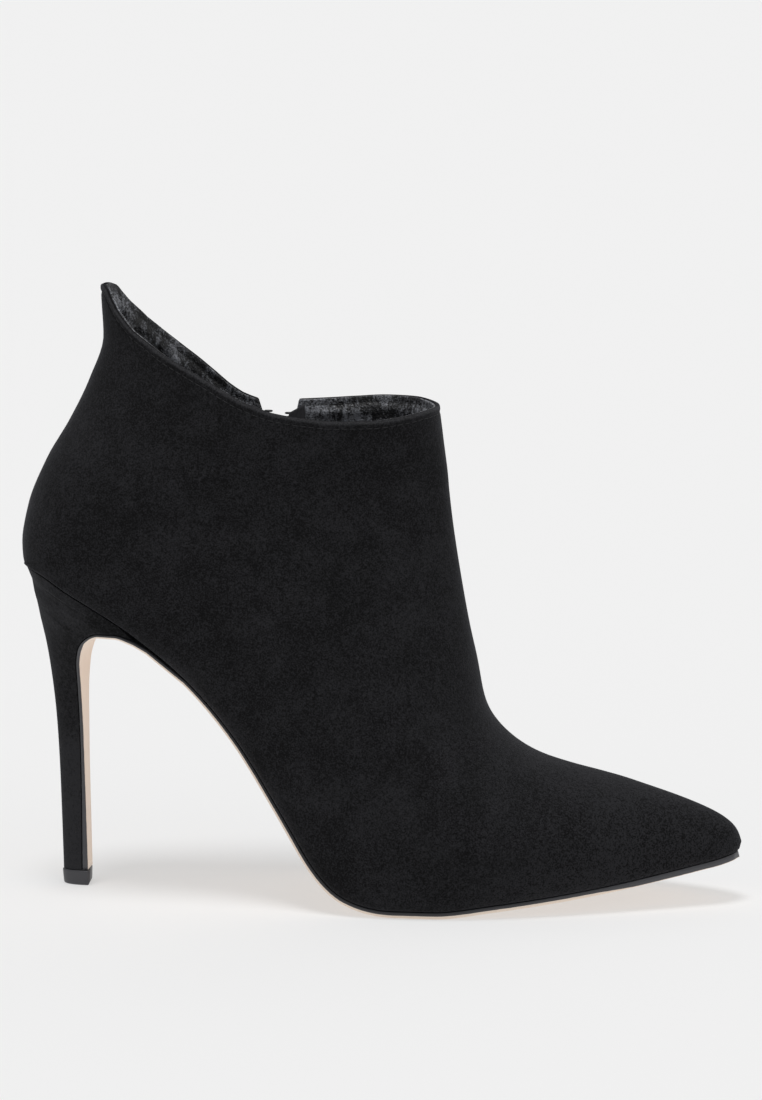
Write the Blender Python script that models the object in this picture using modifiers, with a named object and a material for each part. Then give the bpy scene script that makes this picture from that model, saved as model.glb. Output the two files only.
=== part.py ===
"""Stiletto ankle bootie for the right foot, pointed toe, zip on the inner side.

Metres, +X to the toe, +Y to the inner side, +Z up; the floor is Z = 0 and the
origin lies under the middle of the shoe.  Tables are in millimetres.
"""
import bpy
import bmesh
import numpy as np
from mathutils import Matrix, Vector
from mathutils.bvhtree import BVHTree

MM = 0.001

# driving sizes, mm
WALL = 2.0             # suede and lining together
GAP = 0.3              # between pieces that touch
SOLE_THICK = 2.0       # outsole under the forepart
SOLE_OUTSET = 0.4      # outsole edge beyond the upper's feather edge
INSOLE_THICK = 2.0
CAP_TOP = 4.7          # height of the top lift
TAPE_THICK = 0.6
TAPE_WIDE = 8.5        # each tape, from the middle of the zip
COIL_WIDE = 2.3        # each row of coils
COIL_DEPTH = 1.0       # face of the coils below the suede
TAPE_DEPTH = 2.45      # face of the tapes below the suede
SLOT_HALF = 4.5        # half of the zip's slot
ZIP_BOTTOM = 66.0      # height where the slot ends
SLIDER_Z = 137.0       # height of the slider's middle
SLIDER_LONG = 9.5
SLIDER_HALF = 3.6
PULL_LONG = 25.0
PULL_WIDE = 6.4
PULL_THICK = 1.2
PIN_DEPTH = -1.9       # pull's pin, out from the suede
SIDE = 17              # facets of a section on each side

# The last: a fan of sections, upright at the toe and lying back in the shaft.
# x0,z0 feather line; x1,z1 ridge; half widths of the sole and of the widest
# line, outer and inner side; height share of the widest line; roundness below
# and above it.
LAST = np.array([
    # x0      z0      x1     z1     soleO  soleI  wideO  wideI  at    low   high
    (111.8,  18.4, 111.8,  18.4,  0.0,  0.0,  0.0,  0.0, 0.45, 2.0, 2.0),
    (111.0,  15.9, 110.8,  21.8,  0.0,  0.0,  3.0,  3.0, 0.42, 2.0, 2.0),
    (109.4,  15.5, 108.6,  24.4,  3.4,  3.4,  5.6,  5.6, 0.40, 2.2, 2.0),
    (105.5,  14.6, 104.5,  27.2,  7.2,  7.2,  9.0,  9.0, 0.36, 2.6, 2.0),
    ( 98.0,  13.2,  97.0,  30.4, 11.0, 11.0, 13.0, 13.0, 0.34, 3.0, 2.0),
    ( 87.0,  11.1,  87.0,  33.8, 15.8, 16.0, 18.0, 18.2, 0.33, 3.0, 2.0),
    ( 73.0,   8.6,  74.5,  37.3, 21.6, 22.2, 24.2, 24.8, 0.33, 3.0, 2.0),
    ( 57.0,   6.3,  61.5,  40.6, 27.6, 28.8, 30.6, 31.8, 0.33, 3.0, 2.0),
    ( 39.0,   4.2,  49.6,  43.3, 33.2, 34.0, 36.4, 37.2, 0.34, 3.0, 2.0),
    ( 20.0,   2.3,  41.2,  48.4, 36.6, 35.6, 39.6, 39.2, 0.35, 3.0, 2.0),
    (  4.0,   2.3,  36.0,  54.0, 36.6, 32.8, 40.0, 37.8, 0.36, 3.0, 1.95),
    (-12.9, 9.6, 33.0,  60.2, 33.8, 28.2, 38.4, 35.0, 0.37, 3.0, 1.9),
    (-26.2, 28.4, 30.8,  67.8, 29.2, 23.2, 35.6, 32.6, 0.38, 2.8, 1.9),
    (-41.0, 50.7, 28.7,  78.2, 24.4, 20.6, 32.6, 31.0, 0.39, 2.5, 1.9),
    (-57.5,  69.2,  26.2,  91.2, 21.8, 20.8, 30.4, 30.0, 0.38, 2.2, 1.95),
    (-74.5,  83.2,  24.0, 104.0, 22.6, 22.4, 29.4, 29.2, 0.36, 1.95, 2.0),
    (-92.0,  94.5,  22.4, 114.5, 23.6, 23.6, 28.8, 28.7, 0.35, 1.8, 2.05),
    (-103.3, 100.8, 21.6, 121.0, 18.6, 18.6, 28.4, 28.4, 0.35, 1.87, 2.1),
    (-108.7, 102.4, 21.1, 125.5, 10.6, 10.6, 28.1, 28.1, 0.36, 2.35, 2.15),
    (-110.0, 102.8, 20.9, 127.4,  6.0,  6.0, 28.0, 28.0, 0.37, 2.5, 2.15),
    (-110.5, 103.2, 20.8, 129.2,  0.0,  0.0, 27.9, 27.9, 0.38, 3.15, 2.15),
    (-111.1, 110.0, 20.4, 133.0,  0.0,  0.0, 27.6, 27.6, 0.41, 3.0, 2.2),
    (-109.2, 121.2, 19.8, 137.2,  0.0,  0.0, 27.3, 27.3, 0.45, 2.75, 2.2),
    (-103.7, 134.7,  19.2, 141.7,  0.0,  0.0, 27.0, 27.0, 0.49, 2.4, 2.2),
    ( -96.5, 146.8,  18.7, 145.7,  0.0,  0.0, 26.8, 26.8, 0.53, 2.1, 2.2),
    ( -90.2, 159.6,  18.2, 149.2,  0.0,  0.0, 26.6, 26.6, 0.56, 1.95, 2.2),
    ( -85.8, 173.0,  17.8, 152.7,  0.0,  0.0, 26.4, 26.4, 0.59, 1.9, 2.2),
    ( -86.4, 186.0,  17.3, 156.7,  0.0,  0.0, 26.2, 26.2, 0.61, 1.9, 2.2),
    ( -86.7, 204.0,  16.8, 162.2,  0.0,  0.0, 26.2, 26.2, 0.61, 1.9, 2.2)])

# height of the collar along the shoe: x, outer side, inner side
COLLAR = np.array([
    (-88.5, 185.6, 185.6), (-87.2, 187.6, 187.6), (-86.0, 188.7, 188.7),
    (-84.6, 187.8, 188.3), (-82.5, 184.4, 185.6), (-80.5, 181.3, 182.9),
    (-78.0, 178.5, 180.3), (-75.0, 175.5, 177.0), (-70.0, 172.3, 172.6),
    (-65.0, 169.1, 168.4), (-60.0, 166.5, 164.3), (-55.0, 163.9, 159.8),
    (-50.0, 161.3, 155.3), (-45.0, 158.5, 152.2), (-40.0, 155.7, 150.8),
    (-30.0, 152.2, 150.8), (-20.0, 150.5, 151.3), (-10.0, 149.6, 152.1),
    (0.0, 149.6, 152.9), (10.0, 150.7, 153.1), (18.0, 152.2, 152.4),
    (26.0, 152.6, 152.6)])

# breast of the heel and its flap, from the waist down: outer face x and z,
# half width, thickness of the flap, the back point of the heel's section and how
# square the section is
BREAST = np.array([
    # x      z      half   flap  backX   backZ  square
    (-70.0, 77.1, 22.4, 1.30, -110.3, 101.8, 2.8),
    (-75.0, 79.8, 22.4, 1.25, -109.8, 100.2, 2.8),
    (-80.0, 81.3, 21.8, 1.20, -108.9, 97.6, 2.8),
    (-85.0, 81.2, 19.9, 1.15, -108.1, 94.6, 2.6),
    (-89.2, 79.2, 16.6, 1.10, -107.3, 90.9, 2.4),
    (-91.8,  75.4, 13.0, 1.05, -106.6,  86.0, 2.2),
    (-92.8,  70.0,  9.8, 1.00, -105.0,  78.0, 2.1),
    (-92.9,  63.0,  7.2, 1.00, -103.5,  68.0, 2.0),
    (-92.7,  52.0,  5.6, 1.00, -102.1,  55.0, 2.0),
    (-92.5,  38.0,  4.8, 1.00, -101.2,  39.0, 2.0),
    (-92.2,  22.0,  4.4, 1.00, -100.7,  22.0, 2.0),
    (-91.9,   5.0,  4.2, 1.00, -100.3,   5.0, 2.0)])
BREAST_START = 14.6    # row of LAST where the sole leaves the feather line


def blend(table, at):
    """Rows of a table at fractional row numbers, smooth and without overshoot."""
    table = np.asarray(table, float)
    last = len(table) - 1
    at = np.clip(np.atleast_1d(np.asarray(at, float)), 0, last)
    k = np.minimum(at.astype(int), last - 1)
    f = (at - k)[:, None]
    step = np.diff(table, axis=0)
    slope = np.zeros_like(table)
    same = step[1:] * step[:-1] > 0
    total = np.where(same, step[1:] + step[:-1], 1.0)
    slope[1:-1] = np.where(same, 2 * step[1:] * step[:-1] / total, 0.0)
    slope[0] = step[0]
    slope[-1] = step[-1]
    return ((2*f**3 - 3*f**2 + 1) * table[k] + (f**3 - 2*f**2 + f) * slope[k]
            + (3*f**2 - 2*f**3) * table[k + 1] + (f**3 - f**2) * slope[k + 1])


def spline(table, at):
    """Rows of a table at fractional row numbers, smoothed as a cubic B-spline."""
    table = np.vstack([2*table[0] - table[1], table, 2*table[-1] - table[-2]])
    at = np.clip(np.atleast_1d(np.asarray(at, float)), 0, len(table) - 3)
    k = np.minimum(at.astype(int), len(table) - 4)
    f = (at - k)[:, None]
    return ((1 - f)**3 * table[k] + (3*f**3 - 6*f**2 + 4) * table[k + 1]
            + (3*f + 3*f**2 - 3*f**3 + 1) * table[k + 2] + f**3 * table[k + 3]) / 6


def last_row(at):
    """Sizes of the last's section: exact feather line, smoothed upper part."""
    exact = blend(LAST, at)[0]
    soft = spline(LAST, at)[0]
    exact[2:4] = soft[2:4]
    exact[6:] = soft[6:]
    return exact


def half_section(span, sole, wide, at, low, high, count):
    """One side of a section: out from the sole edge, in again to the ridge."""
    turn = np.linspace(0, np.pi / 2, 80)
    out = sole + (wide - sole) * np.sin(turn) ** (2 / low)
    rise = at * span * (1 - np.cos(turn) ** (2 / low))
    back = wide * np.cos(turn[1:]) ** (2 / high)
    up = span * (at + (1 - at) * np.sin(turn[1:]) ** (2 / high))
    across = np.concatenate([out, back])
    along = np.concatenate([rise, up])
    run = np.concatenate([[0], np.cumsum(np.hypot(np.diff(across), np.diff(along)))])
    even = np.linspace(0, 1, count + 1)
    even = run[-1] * (even - 0.5 * np.sin(2 * np.pi * even) / (2 * np.pi))
    return np.interp(even, run, across), np.interp(even, run, along)


def section(at, count=SIDE):
    """A section of the last, from the outer sole edge over the ridge."""
    x0, z0, x1, z1, so, si, wo, wi, share, low, high = last_row(at)
    span = np.hypot(x1 - x0, z1 - z0)
    dx, dz = ((x1 - x0) / span, (z1 - z0) / span) if span > 1e-6 else (0.0, 1.0)
    sides = []
    for sign, sole, wide in ((-1, so, wo), (1, si, wi)):
        across, along = half_section(span, sole, wide, share, low, high, count)
        sides.append(np.stack([x0 + dx*along, sign*across, z0 + dz*along], 1))
    return np.concatenate([sides[0], sides[1][::-1][1:]])


def collar_height(x, inner):
    """Height of the collar's edge at x on one side."""
    return blend_x(COLLAR, x)[2 if inner else 1]


def blend_x(table, x):
    """Row of a table at a value of its first column."""
    at = np.interp(x, table[:, 0], np.arange(len(table)))
    return blend(table, at)[0]


def shell_grid(rows, count=SIDE):
    """Points of the upper's outer face, rows from the toe up to the collar."""
    fine = np.linspace(0, len(LAST) - 1, 400)
    full = np.array([section(t, count) for t in fine])
    grid = np.zeros((rows, full.shape[1], 3))
    for j in range(full.shape[1]):
        x, z = full[:, j, 0], full[:, j, 2]
        rim = np.array([collar_height(v, j > count) for v in x])
        over = z - rim
        k = np.flatnonzero((over > 0) & (fine > 18))[0]
        end = fine[k-1] + (fine[k] - fine[k-1]) * over[k-1] / (over[k-1] - over[k])
        for c in range(3):
            grid[:, j, c] = np.interp(np.linspace(0, end, rows), fine, full[:, j, c])
    return grid


def feather(at, lift=0.0, inset=0.0):
    """Centre point, up direction and half widths of the feather line."""
    here = blend(LAST, at)[0]
    ahead = blend(LAST, min(at + 0.05, len(LAST) - 1))[0]
    behind = blend(LAST, max(at - 0.05, 0))[0]
    run = np.array([behind[0] - ahead[0], behind[1] - ahead[1]])
    run /= np.linalg.norm(run)
    up = np.array([-run[1], run[0]])
    centre = here[:2] + up * lift
    return centre, up, max(here[4] - inset, 0.0), max(here[5] - inset, 0.0)


COLLECTION = bpy.data.collections.new("ankle_bootie")
CUTTERS = bpy.data.collections.new("cutters")


def clear_scene():
    """Empty the file and link the two collections."""
    for obj in list(bpy.data.objects):
        bpy.data.objects.remove(obj, do_unlink=True)
    bpy.context.scene.collection.children.link(COLLECTION)
    bpy.context.scene.collection.children.link(CUTTERS)


def material(name, colour, rough, metal=0.0):
    """A plain Principled material."""
    mat = bpy.data.materials.new(name)
    mat.use_nodes = True
    shader = mat.node_tree.nodes["Principled BSDF"]
    shader.inputs["Base Color"].default_value = (*colour, 1.0)
    shader.inputs["Roughness"].default_value = rough
    shader.inputs["Metallic"].default_value = metal
    return mat


def mesh_object(name, points, faces, mat, smooth=True, cutter=False):
    """An object from millimetre points, welded and with faces outwards."""
    mesh = bpy.data.meshes.new(name)
    bm = bmesh.new()
    verts = [bm.verts.new(Vector(p) * MM) for p in points]
    for face in faces:
        ring = []
        for i in face:
            if verts[i] not in ring:
                ring.append(verts[i])
        if len(ring) > 2:
            bm.faces.new(ring)
    bmesh.ops.remove_doubles(bm, verts=bm.verts, dist=0.03 * MM)
    bmesh.ops.dissolve_degenerate(bm, edges=bm.edges, dist=0.02 * MM)
    bmesh.ops.recalc_face_normals(bm, faces=bm.faces)
    for face in bm.faces:
        face.smooth = smooth
    bm.to_mesh(mesh)
    bm.free()
    obj = bpy.data.objects.new(name, mesh)
    if cutter:
        obj.hide_render = True
        obj.display_type = "WIRE"
        CUTTERS.objects.link(obj)
    else:
        mesh.materials.append(mat)
        COLLECTION.objects.link(obj)
    return obj


def loft(rings, caps=True):
    """Points and faces of a tube through closed rings of equal count."""
    count = len(rings[0])
    points = [p for ring in rings for p in ring]
    faces = []
    for i in range(len(rings) - 1):
        for j in range(count):
            k = (j + 1) % count
            faces.append((i*count + j, i*count + k, (i+1)*count + k, (i+1)*count + j))
    if caps:
        faces.append(tuple(range(count)))
        faces.append(tuple((len(rings) - 1)*count + j for j in reversed(range(count))))
    return points, faces


def build_upper(mat):
    """The hollow suede shell with its zip slot."""
    grid = shell_grid(44)
    rows, cols = grid.shape[:2]
    points = grid.reshape(-1, 3)
    faces = [(i*cols + j, i*cols + j + 1, (i+1)*cols + j + 1, (i+1)*cols + j)
             for i in range(rows - 1) for j in range(cols - 1)]
    obj = mesh_object("upper", points, faces, mat)
    centre = obj.data.polygons[len(obj.data.polygons) // 2]
    tree = BVHTree.FromPolygons([Vector(p) for p in points], faces)
    wall = obj.modifiers.new("wall", "SOLIDIFY")
    wall.thickness = WALL * MM
    wall.offset = -1.0 if centre.normal.dot(centre.center - Vector((-0.03, 0, 0.09))) > 0 else 1.0
    wall.use_rim = True
    cut = obj.modifiers.new("zip slot", "BOOLEAN")
    cut.operation = "DIFFERENCE"
    cut.solver = "EXACT"
    cut.object = slot_cutter()
    return obj, tree


def zip_x(z):
    """The zip's centre line: x at a height."""
    return -31.2 - 4.0 * (z - ZIP_BOTTOM) / (151.0 - ZIP_BOTTOM)


def slot_half(z):
    """Half width of the slot, flared at the collar."""
    return SLOT_HALF + 2.0 * np.clip((z - 141.0) / 10.0, 0, 1.3) ** 1.4


def slot_cutter():
    """Prism through the inner side in the shape of the slot."""
    heights = list(np.linspace(ZIP_BOTTOM + 3.5, 140.0, 8)) + [144.0, 148.0, 152.0, 158.0]
    left = [(zip_x(z) - slot_half(z), z) for z in heights]
    right = [(zip_x(z) + slot_half(z), z) for z in heights]
    end = [(zip_x(ZIP_BOTTOM) + SLOT_HALF * np.cos(a), ZIP_BOTTOM + 3.5 + 3.5 * np.sin(a))
           for a in np.radians([-25, -55, -90, -125, -155])]
    outline = right[::-1] + end + left
    rings = [[(x, y, z) for x, z in outline] for y in (8.0, 60.0)]
    points, faces = loft(rings)
    return mesh_object("slot_cutter", points, faces, None, smooth=False, cutter=True)


def sole_ring(centre, up, outer, inner, thick, edge=0.35):
    """Ring of a sheet's section: flat top, flat bottom, eased lower edges."""
    lean = min(edge, thick * 0.4, 0.3 * max(outer, 0.4))
    marks = [(-outer, 0), (-outer, lean - thick), (lean - outer, -thick), (0, -thick),
             (inner - lean, -thick), (inner, lean - thick), (inner, 0), (0, 0)]
    return [(centre[0] + up[0]*h, y, centre[1] + up[1]*h) for y, h in marks]


def breast_frames(table):
    """Outer face points of the breast with the direction into the heel."""
    face = table[:, :2]
    run = np.gradient(face, axis=0)
    run /= np.linalg.norm(run, axis=1)[:, None]
    return face, np.stack([run[:, 1], -run[:, 0]], 1)


def build_outsole(mat):
    """Forepart, waist and breast flap as one sheet."""
    rings = []
    for t in (1.3, 1.45, 1.7, 2.0, 2.5, 3.0, 4.0, 5.0, 6.0, 7.0, 8.0, 8.6, 9.0, 9.5, 10.0,
              10.3, 10.6, 11.0, 11.5, 12.0, 12.5, 13.0, 13.5, 14.0):
        centre, up, outer, inner = feather(t, -GAP, -SOLE_OUTSET)
        thick = np.interp(t, (9.0, 12.0, 14.0), (SOLE_THICK, 1.6, 1.4))
        rings.append(sole_ring(centre, up, max(outer, 0.6), max(inner, 0.6), thick))
    rows = blend(BREAST, np.arange(0, len(BREAST) - 0.75, 0.5))
    face, inward = breast_frames(rows)
    for point, up, row in zip(face, inward, rows):
        rings.append(sole_ring(point + up * row[3], up, row[2], row[2], row[3], 0.25))
    points, faces = loft(rings)
    return mesh_object("outsole", points, faces, mat)


def even_line(line, count):
    """Points spaced evenly by length along a polyline."""
    line = np.asarray(line, float)
    run = np.concatenate([[0], np.cumsum(np.linalg.norm(np.diff(line, axis=0), axis=1))])
    want = np.linspace(0, run[-1], count)
    return np.stack([np.interp(want, run, line[:, c]) for c in range(line.shape[1])], 1)


def build_heel(mat):
    """Stiletto block from the top lift up to the seat."""
    half = 11
    rows = blend(BREAST, np.concatenate([np.arange(0.9, 4, 0.5), np.arange(4, 11.01, 0.5)]))
    face, inward = breast_frames(rows)
    rings = []
    seat = []
    for t in np.linspace(20.0, BREAST_START + 0.6, 60):
        centre, up, outer, inner = feather(t, -GAP)
        seat.append((centre[0], outer, centre[1]))
    side = even_line(seat, half)
    rings.append(seat_ring(side))
    for point, up, row in zip(face, inward, rows):
        front = point + up * (row[3] + GAP)
        back = row[4:6]
        turn = np.linspace(0, np.pi / 2, 40)
        square = row[6]
        line = [(back[0] + (front[0]-back[0]) * (1-np.cos(a)),
                 row[2] * (1 - np.cos(a)**square) ** (1 / square),
                 back[1] + (front[1]-back[1]) * (1-np.cos(a))) for a in turn]
        rings.append(seat_ring(even_line(line, half)))
    points, faces = loft(rings, caps=False)
    count = len(rings[0])
    last = (len(rings) - 1) * count
    faces += strip_cap(0, half, count)
    faces += [tuple(reversed(f)) for f in strip_cap(last, half, count)]
    return mesh_object("heel", points, faces, mat)


def seat_ring(side):
    """Closed ring from one side's points: outer side down, inner side back."""
    outer = [(x, -y, z) for x, y, z in side]
    inner = [(x, y, z) for x, y, z in side[::-1]]
    return outer + [((outer[-1][0]), 0.0, outer[-1][2])] + inner[:-1]


def strip_cap(start, half, count):
    """Faces that close a ring by strips from side to side."""
    faces = []
    for k in range(half - 2):
        a, b = start + k, start + k + 1
        c, d = start + (count - k - 1) % count, start + (count - k) % count
        if k == 0:
            faces.append((a, b, start + count - 1))
        else:
            faces.append((a, b, c, d))
    k = half - 2
    faces.append((start + k, start + k + 1, start + half, start + half + 1,
                  start + (count - k) % count))
    return faces


def build_cap(mat):
    """Hard top lift under the stem."""
    rings = []
    for z, back, front, wide in ((0.0, -99.9, -91.9, 4.1), (0.4, -100.3, -91.6, 4.5),
                                 (4.3, -100.7, -91.5, 4.8), (CAP_TOP, -100.5, -91.7, 4.6)):
        turn = np.linspace(0, np.pi / 2, 9)
        side = [(back + (front - back) * (1 - np.cos(a)), wide * np.sin(a) ** 0.9, z)
                for a in turn]
        rings.append(seat_ring(side))
    points, faces = loft(rings)
    return mesh_object("heel_cap", points, faces, mat)


def build_insole(mat):
    """Insole board with its sock, inside the wall."""
    rings = []
    for t in (3.1, 3.5, 4.0, 5.0, 6.0, 7.0, 8.0, 9.0, 9.5, 10.0, 10.5, 11.0, 11.5,
              12.0, 12.5, 13.0, 13.5, 14.0, 14.5, 15.0, 15.5, 16.0, 16.5, 17.0, 17.4):
        tuck = 1.6 + 2.8 * max(4 - t, 0) ** 2 + 3.6 * max(t - 15.5, 0) ** 1.5
        centre, up, outer, inner = feather(t, INSOLE_THICK, tuck)
        rings.append(sole_ring(centre, up, outer, inner, INSOLE_THICK))
    points, faces = loft(rings)
    return mesh_object("insole", points, faces, mat)


class InnerSide:
    """The upper's outer face on the side of the zip, read by rays."""

    def __init__(self, tree):
        self.tree = tree

    def height(self, x, z):
        """y of the face at x and z."""
        hit = self.tree.ray_cast(Vector((x, 90, min(z, 149.5))), Vector((0, -1, 0)))
        return hit[0].y

    def frame(self, x, z):
        """Point of the face and its direction outwards."""
        low = min(z, 146.0)
        dx = (self.height(x + 3, low) - self.height(x - 3, low)) / 6
        dz = (self.height(x, low + 3) - self.height(x, low - 3)) / 6
        return Vector((x, self.height(x, z), z)), Vector((-dx, 1, -dz)).normalized()

    def point(self, x, z, depth):
        """Point at a depth below the face."""
        at, out = self.frame(x, z)
        return at - out * depth


def zip_spread(z):
    """How far each row of coils stands from the middle above the slider."""
    return 0.15 + 3.4 * np.clip((z - SLIDER_Z - 4.0) / 9.0, 0, 1) ** 1.15


def build_zip_half(side, sign, mat):
    """One tape with its row of coils; sign -1 lies to the heel, +1 to the toe."""
    heights = list(np.linspace(ZIP_BOTTOM + 2, SLIDER_Z + 4, 13))
    heights += [143.5, 145.5, 147.5, 149.3]
    rings = []
    for z in heights:
        near = zip_spread(z)
        marks = [(near, COIL_DEPTH), (near + COIL_WIDE, COIL_DEPTH),
                 (near + COIL_WIDE, TAPE_DEPTH), (TAPE_WIDE, TAPE_DEPTH),
                 (TAPE_WIDE, TAPE_DEPTH + TAPE_THICK), (near, TAPE_DEPTH + TAPE_THICK)]
        rings.append([side.point(zip_x(z) + sign * b, z, d) for b, d in marks])
    points, faces = loft(rings)
    name = "zip_tape_front" if sign > 0 else "zip_tape_back"
    return mesh_object(name, points, faces, mat, smooth=False)


def build_slider(side, mat):
    """Channel over the coils with the bail that carries the pull."""
    inner = COIL_WIDE + 0.15 + GAP
    marks = [(-SLIDER_HALF, -0.9), (SLIDER_HALF, -0.9), (SLIDER_HALF, 1.95), (inner, 1.95),
             (inner, COIL_DEPTH - GAP), (-inner, COIL_DEPTH - GAP), (-inner, 1.95),
             (-SLIDER_HALF, 1.95)]
    rings = []
    low = SLIDER_Z - SLIDER_LONG / 2
    for z, narrow in ((low, 0.94), (low + 1, 1.0), (SLIDER_Z, 1.0), (SLIDER_Z + 3.6, 1.0),
                      (SLIDER_Z + 4.2, 0.96)):
        rings.append([side.point(zip_x(z) + b * (narrow if abs(b) > inner else 1.0), z, d)
                      for b, d in marks])
    points, faces = loft(rings)
    slider = mesh_object("zip_slider", points, faces, mat, smooth=False)
    at, turn = pull_frame(side)
    path = [(-1.85, 0.6), (-1.85, 2.9), (-1.3, 3.6), (2.1, 3.6), (2.65, 2.9), (2.65, 0.6)]
    inside = [(-0.95, 0.6), (-0.95, 2.6), (-0.75, 2.8), (1.55, 2.8), (1.75, 2.6), (1.75, 0.6)]
    outline = path + inside[::-1]
    drop = Vector((0, -PIN_DEPTH, 0))
    rings = [[(x, h, v) for v, h in outline] for x in (-0.8, 0.8)]
    rings = [[(at - turn @ drop) + turn @ Vector(p) for p in ring] for ring in rings]
    points, faces = loft(rings)
    bail = mesh_object("bail_cutter", points, faces, None, smooth=False, cutter=True)
    join = slider.modifiers.new("bail", "BOOLEAN")
    join.operation = "UNION"
    join.solver = "EXACT"
    join.object = bail
    return slider


def pull_frame(side):
    """Pin of the pull and the turn of its rest pose: hanging along the side."""
    z = SLIDER_Z - 0.9
    x = zip_x(z)
    lean = (side.height(x, z - 20) - side.height(x, z)) / 20
    turn = Matrix.Rotation(np.arctan(lean), 3, "X")
    at = Vector((x, side.height(x, z), z)) + turn @ Vector((0, -PIN_DEPTH, 0))
    return at, turn


def build_pull(side, mat):
    """Flat pull tab with the window that the bail passes through."""
    at, turn = pull_frame(side)
    half = PULL_WIDE / 2
    tip = PULL_LONG
    outline = [(-2.2, 0.62), (2.2, 0.62), (2.2, -5.2), (half - 0.6, -8.0), (half, -11.0),
               (half, 2.0 - tip), (half - 1.2, 0.5 - tip), (half - 2.4, -tip),
               (2.4 - half, -tip), (1.2 - half, 0.5 - tip), (-half, 2.0 - tip),
               (-half, -11.0), (0.6 - half, -8.0), (-2.2, -5.2)]
    deep = PULL_THICK / 2
    rings = [[(x, y, z) for x, z in outline] for y in (-deep, deep)]
    points, faces = loft(rings)
    pull = mesh_object("zip_pull", points, faces, mat, smooth=False)
    window = [(-1.2, -0.58), (1.2, -0.58), (1.2, -4.3), (-1.2, -4.3)]
    rings = [[(x, y, z) for x, z in window] for y in (-2, 2)]
    points, faces = loft(rings)
    hole = mesh_object("window_cutter", points, faces, None, smooth=False, cutter=True)
    cut = pull.modifiers.new("window", "BOOLEAN")
    cut.operation = "DIFFERENCE"
    cut.solver = "EXACT"
    cut.object = hole
    for obj in (pull, hole):
        obj.location = at * MM
        obj.rotation_euler = turn.to_euler()
    return pull


def main():
    """Build every piece."""
    clear_scene()
    suede = material("suede", (0.012, 0.012, 0.014), 0.95)
    leather = material("sole_leather", (0.72, 0.65, 0.60), 0.55)
    sock = material("sock_lining", (0.02, 0.02, 0.02), 0.4)
    hard = material("top_lift", (0.04, 0.04, 0.045), 0.35)
    tape = material("zip_tape", (0.015, 0.015, 0.016), 0.7)
    metal = material("zip_metal", (0.05, 0.05, 0.055), 0.35, 1.0)
    tree = build_upper(suede)[1]
    build_outsole(leather)
    build_heel(suede)
    build_cap(hard)
    build_insole(sock)
    side = InnerSide(tree)
    build_zip_half(side, -1, tape)
    build_zip_half(side, 1, tape)
    build_slider(side, metal)
    build_pull(side, metal)


main()
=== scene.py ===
"""Looks of the stiletto ankle bootie: suede shell, lining, zip, heel and sole in a plain studio.

The file works in metres and the tables are in millimetres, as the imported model's frame:
+X runs to the toe, +Y to the inner side of the right foot, +Z up, and the floor is Z = 0.
"""

import logging
import math
from dataclasses import dataclass, field
from enum import Enum
from typing import Optional, Sequence, Union

import bpy
import numpy as np
from mathutils import Matrix, Vector, noise
from mathutils.bvhtree import BVHTree


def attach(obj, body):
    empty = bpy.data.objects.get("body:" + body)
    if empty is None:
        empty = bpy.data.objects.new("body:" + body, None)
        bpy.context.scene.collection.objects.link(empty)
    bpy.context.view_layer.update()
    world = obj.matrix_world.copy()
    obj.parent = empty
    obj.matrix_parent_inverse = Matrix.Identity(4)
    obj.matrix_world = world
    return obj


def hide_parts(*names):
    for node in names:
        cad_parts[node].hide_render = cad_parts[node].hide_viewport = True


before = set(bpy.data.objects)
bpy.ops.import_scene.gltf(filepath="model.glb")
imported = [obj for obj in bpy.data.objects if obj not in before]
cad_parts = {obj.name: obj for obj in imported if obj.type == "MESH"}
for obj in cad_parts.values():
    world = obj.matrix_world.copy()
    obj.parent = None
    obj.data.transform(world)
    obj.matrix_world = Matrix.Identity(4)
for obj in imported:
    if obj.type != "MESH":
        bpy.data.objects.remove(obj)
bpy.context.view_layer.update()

LOG = logging.getLogger("bootie")
MM = 0.001
IMAGE_TALL = 1100      # the photograph's long side in pixels
SENSOR = 36.0
Array = np.ndarray
Colour = tuple[float, float, float]
Mesh = tuple[Array, list[tuple]]       # points and faces
Material = bpy.types.Material
Object = bpy.types.Object
Socket = bpy.types.NodeSocket

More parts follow.
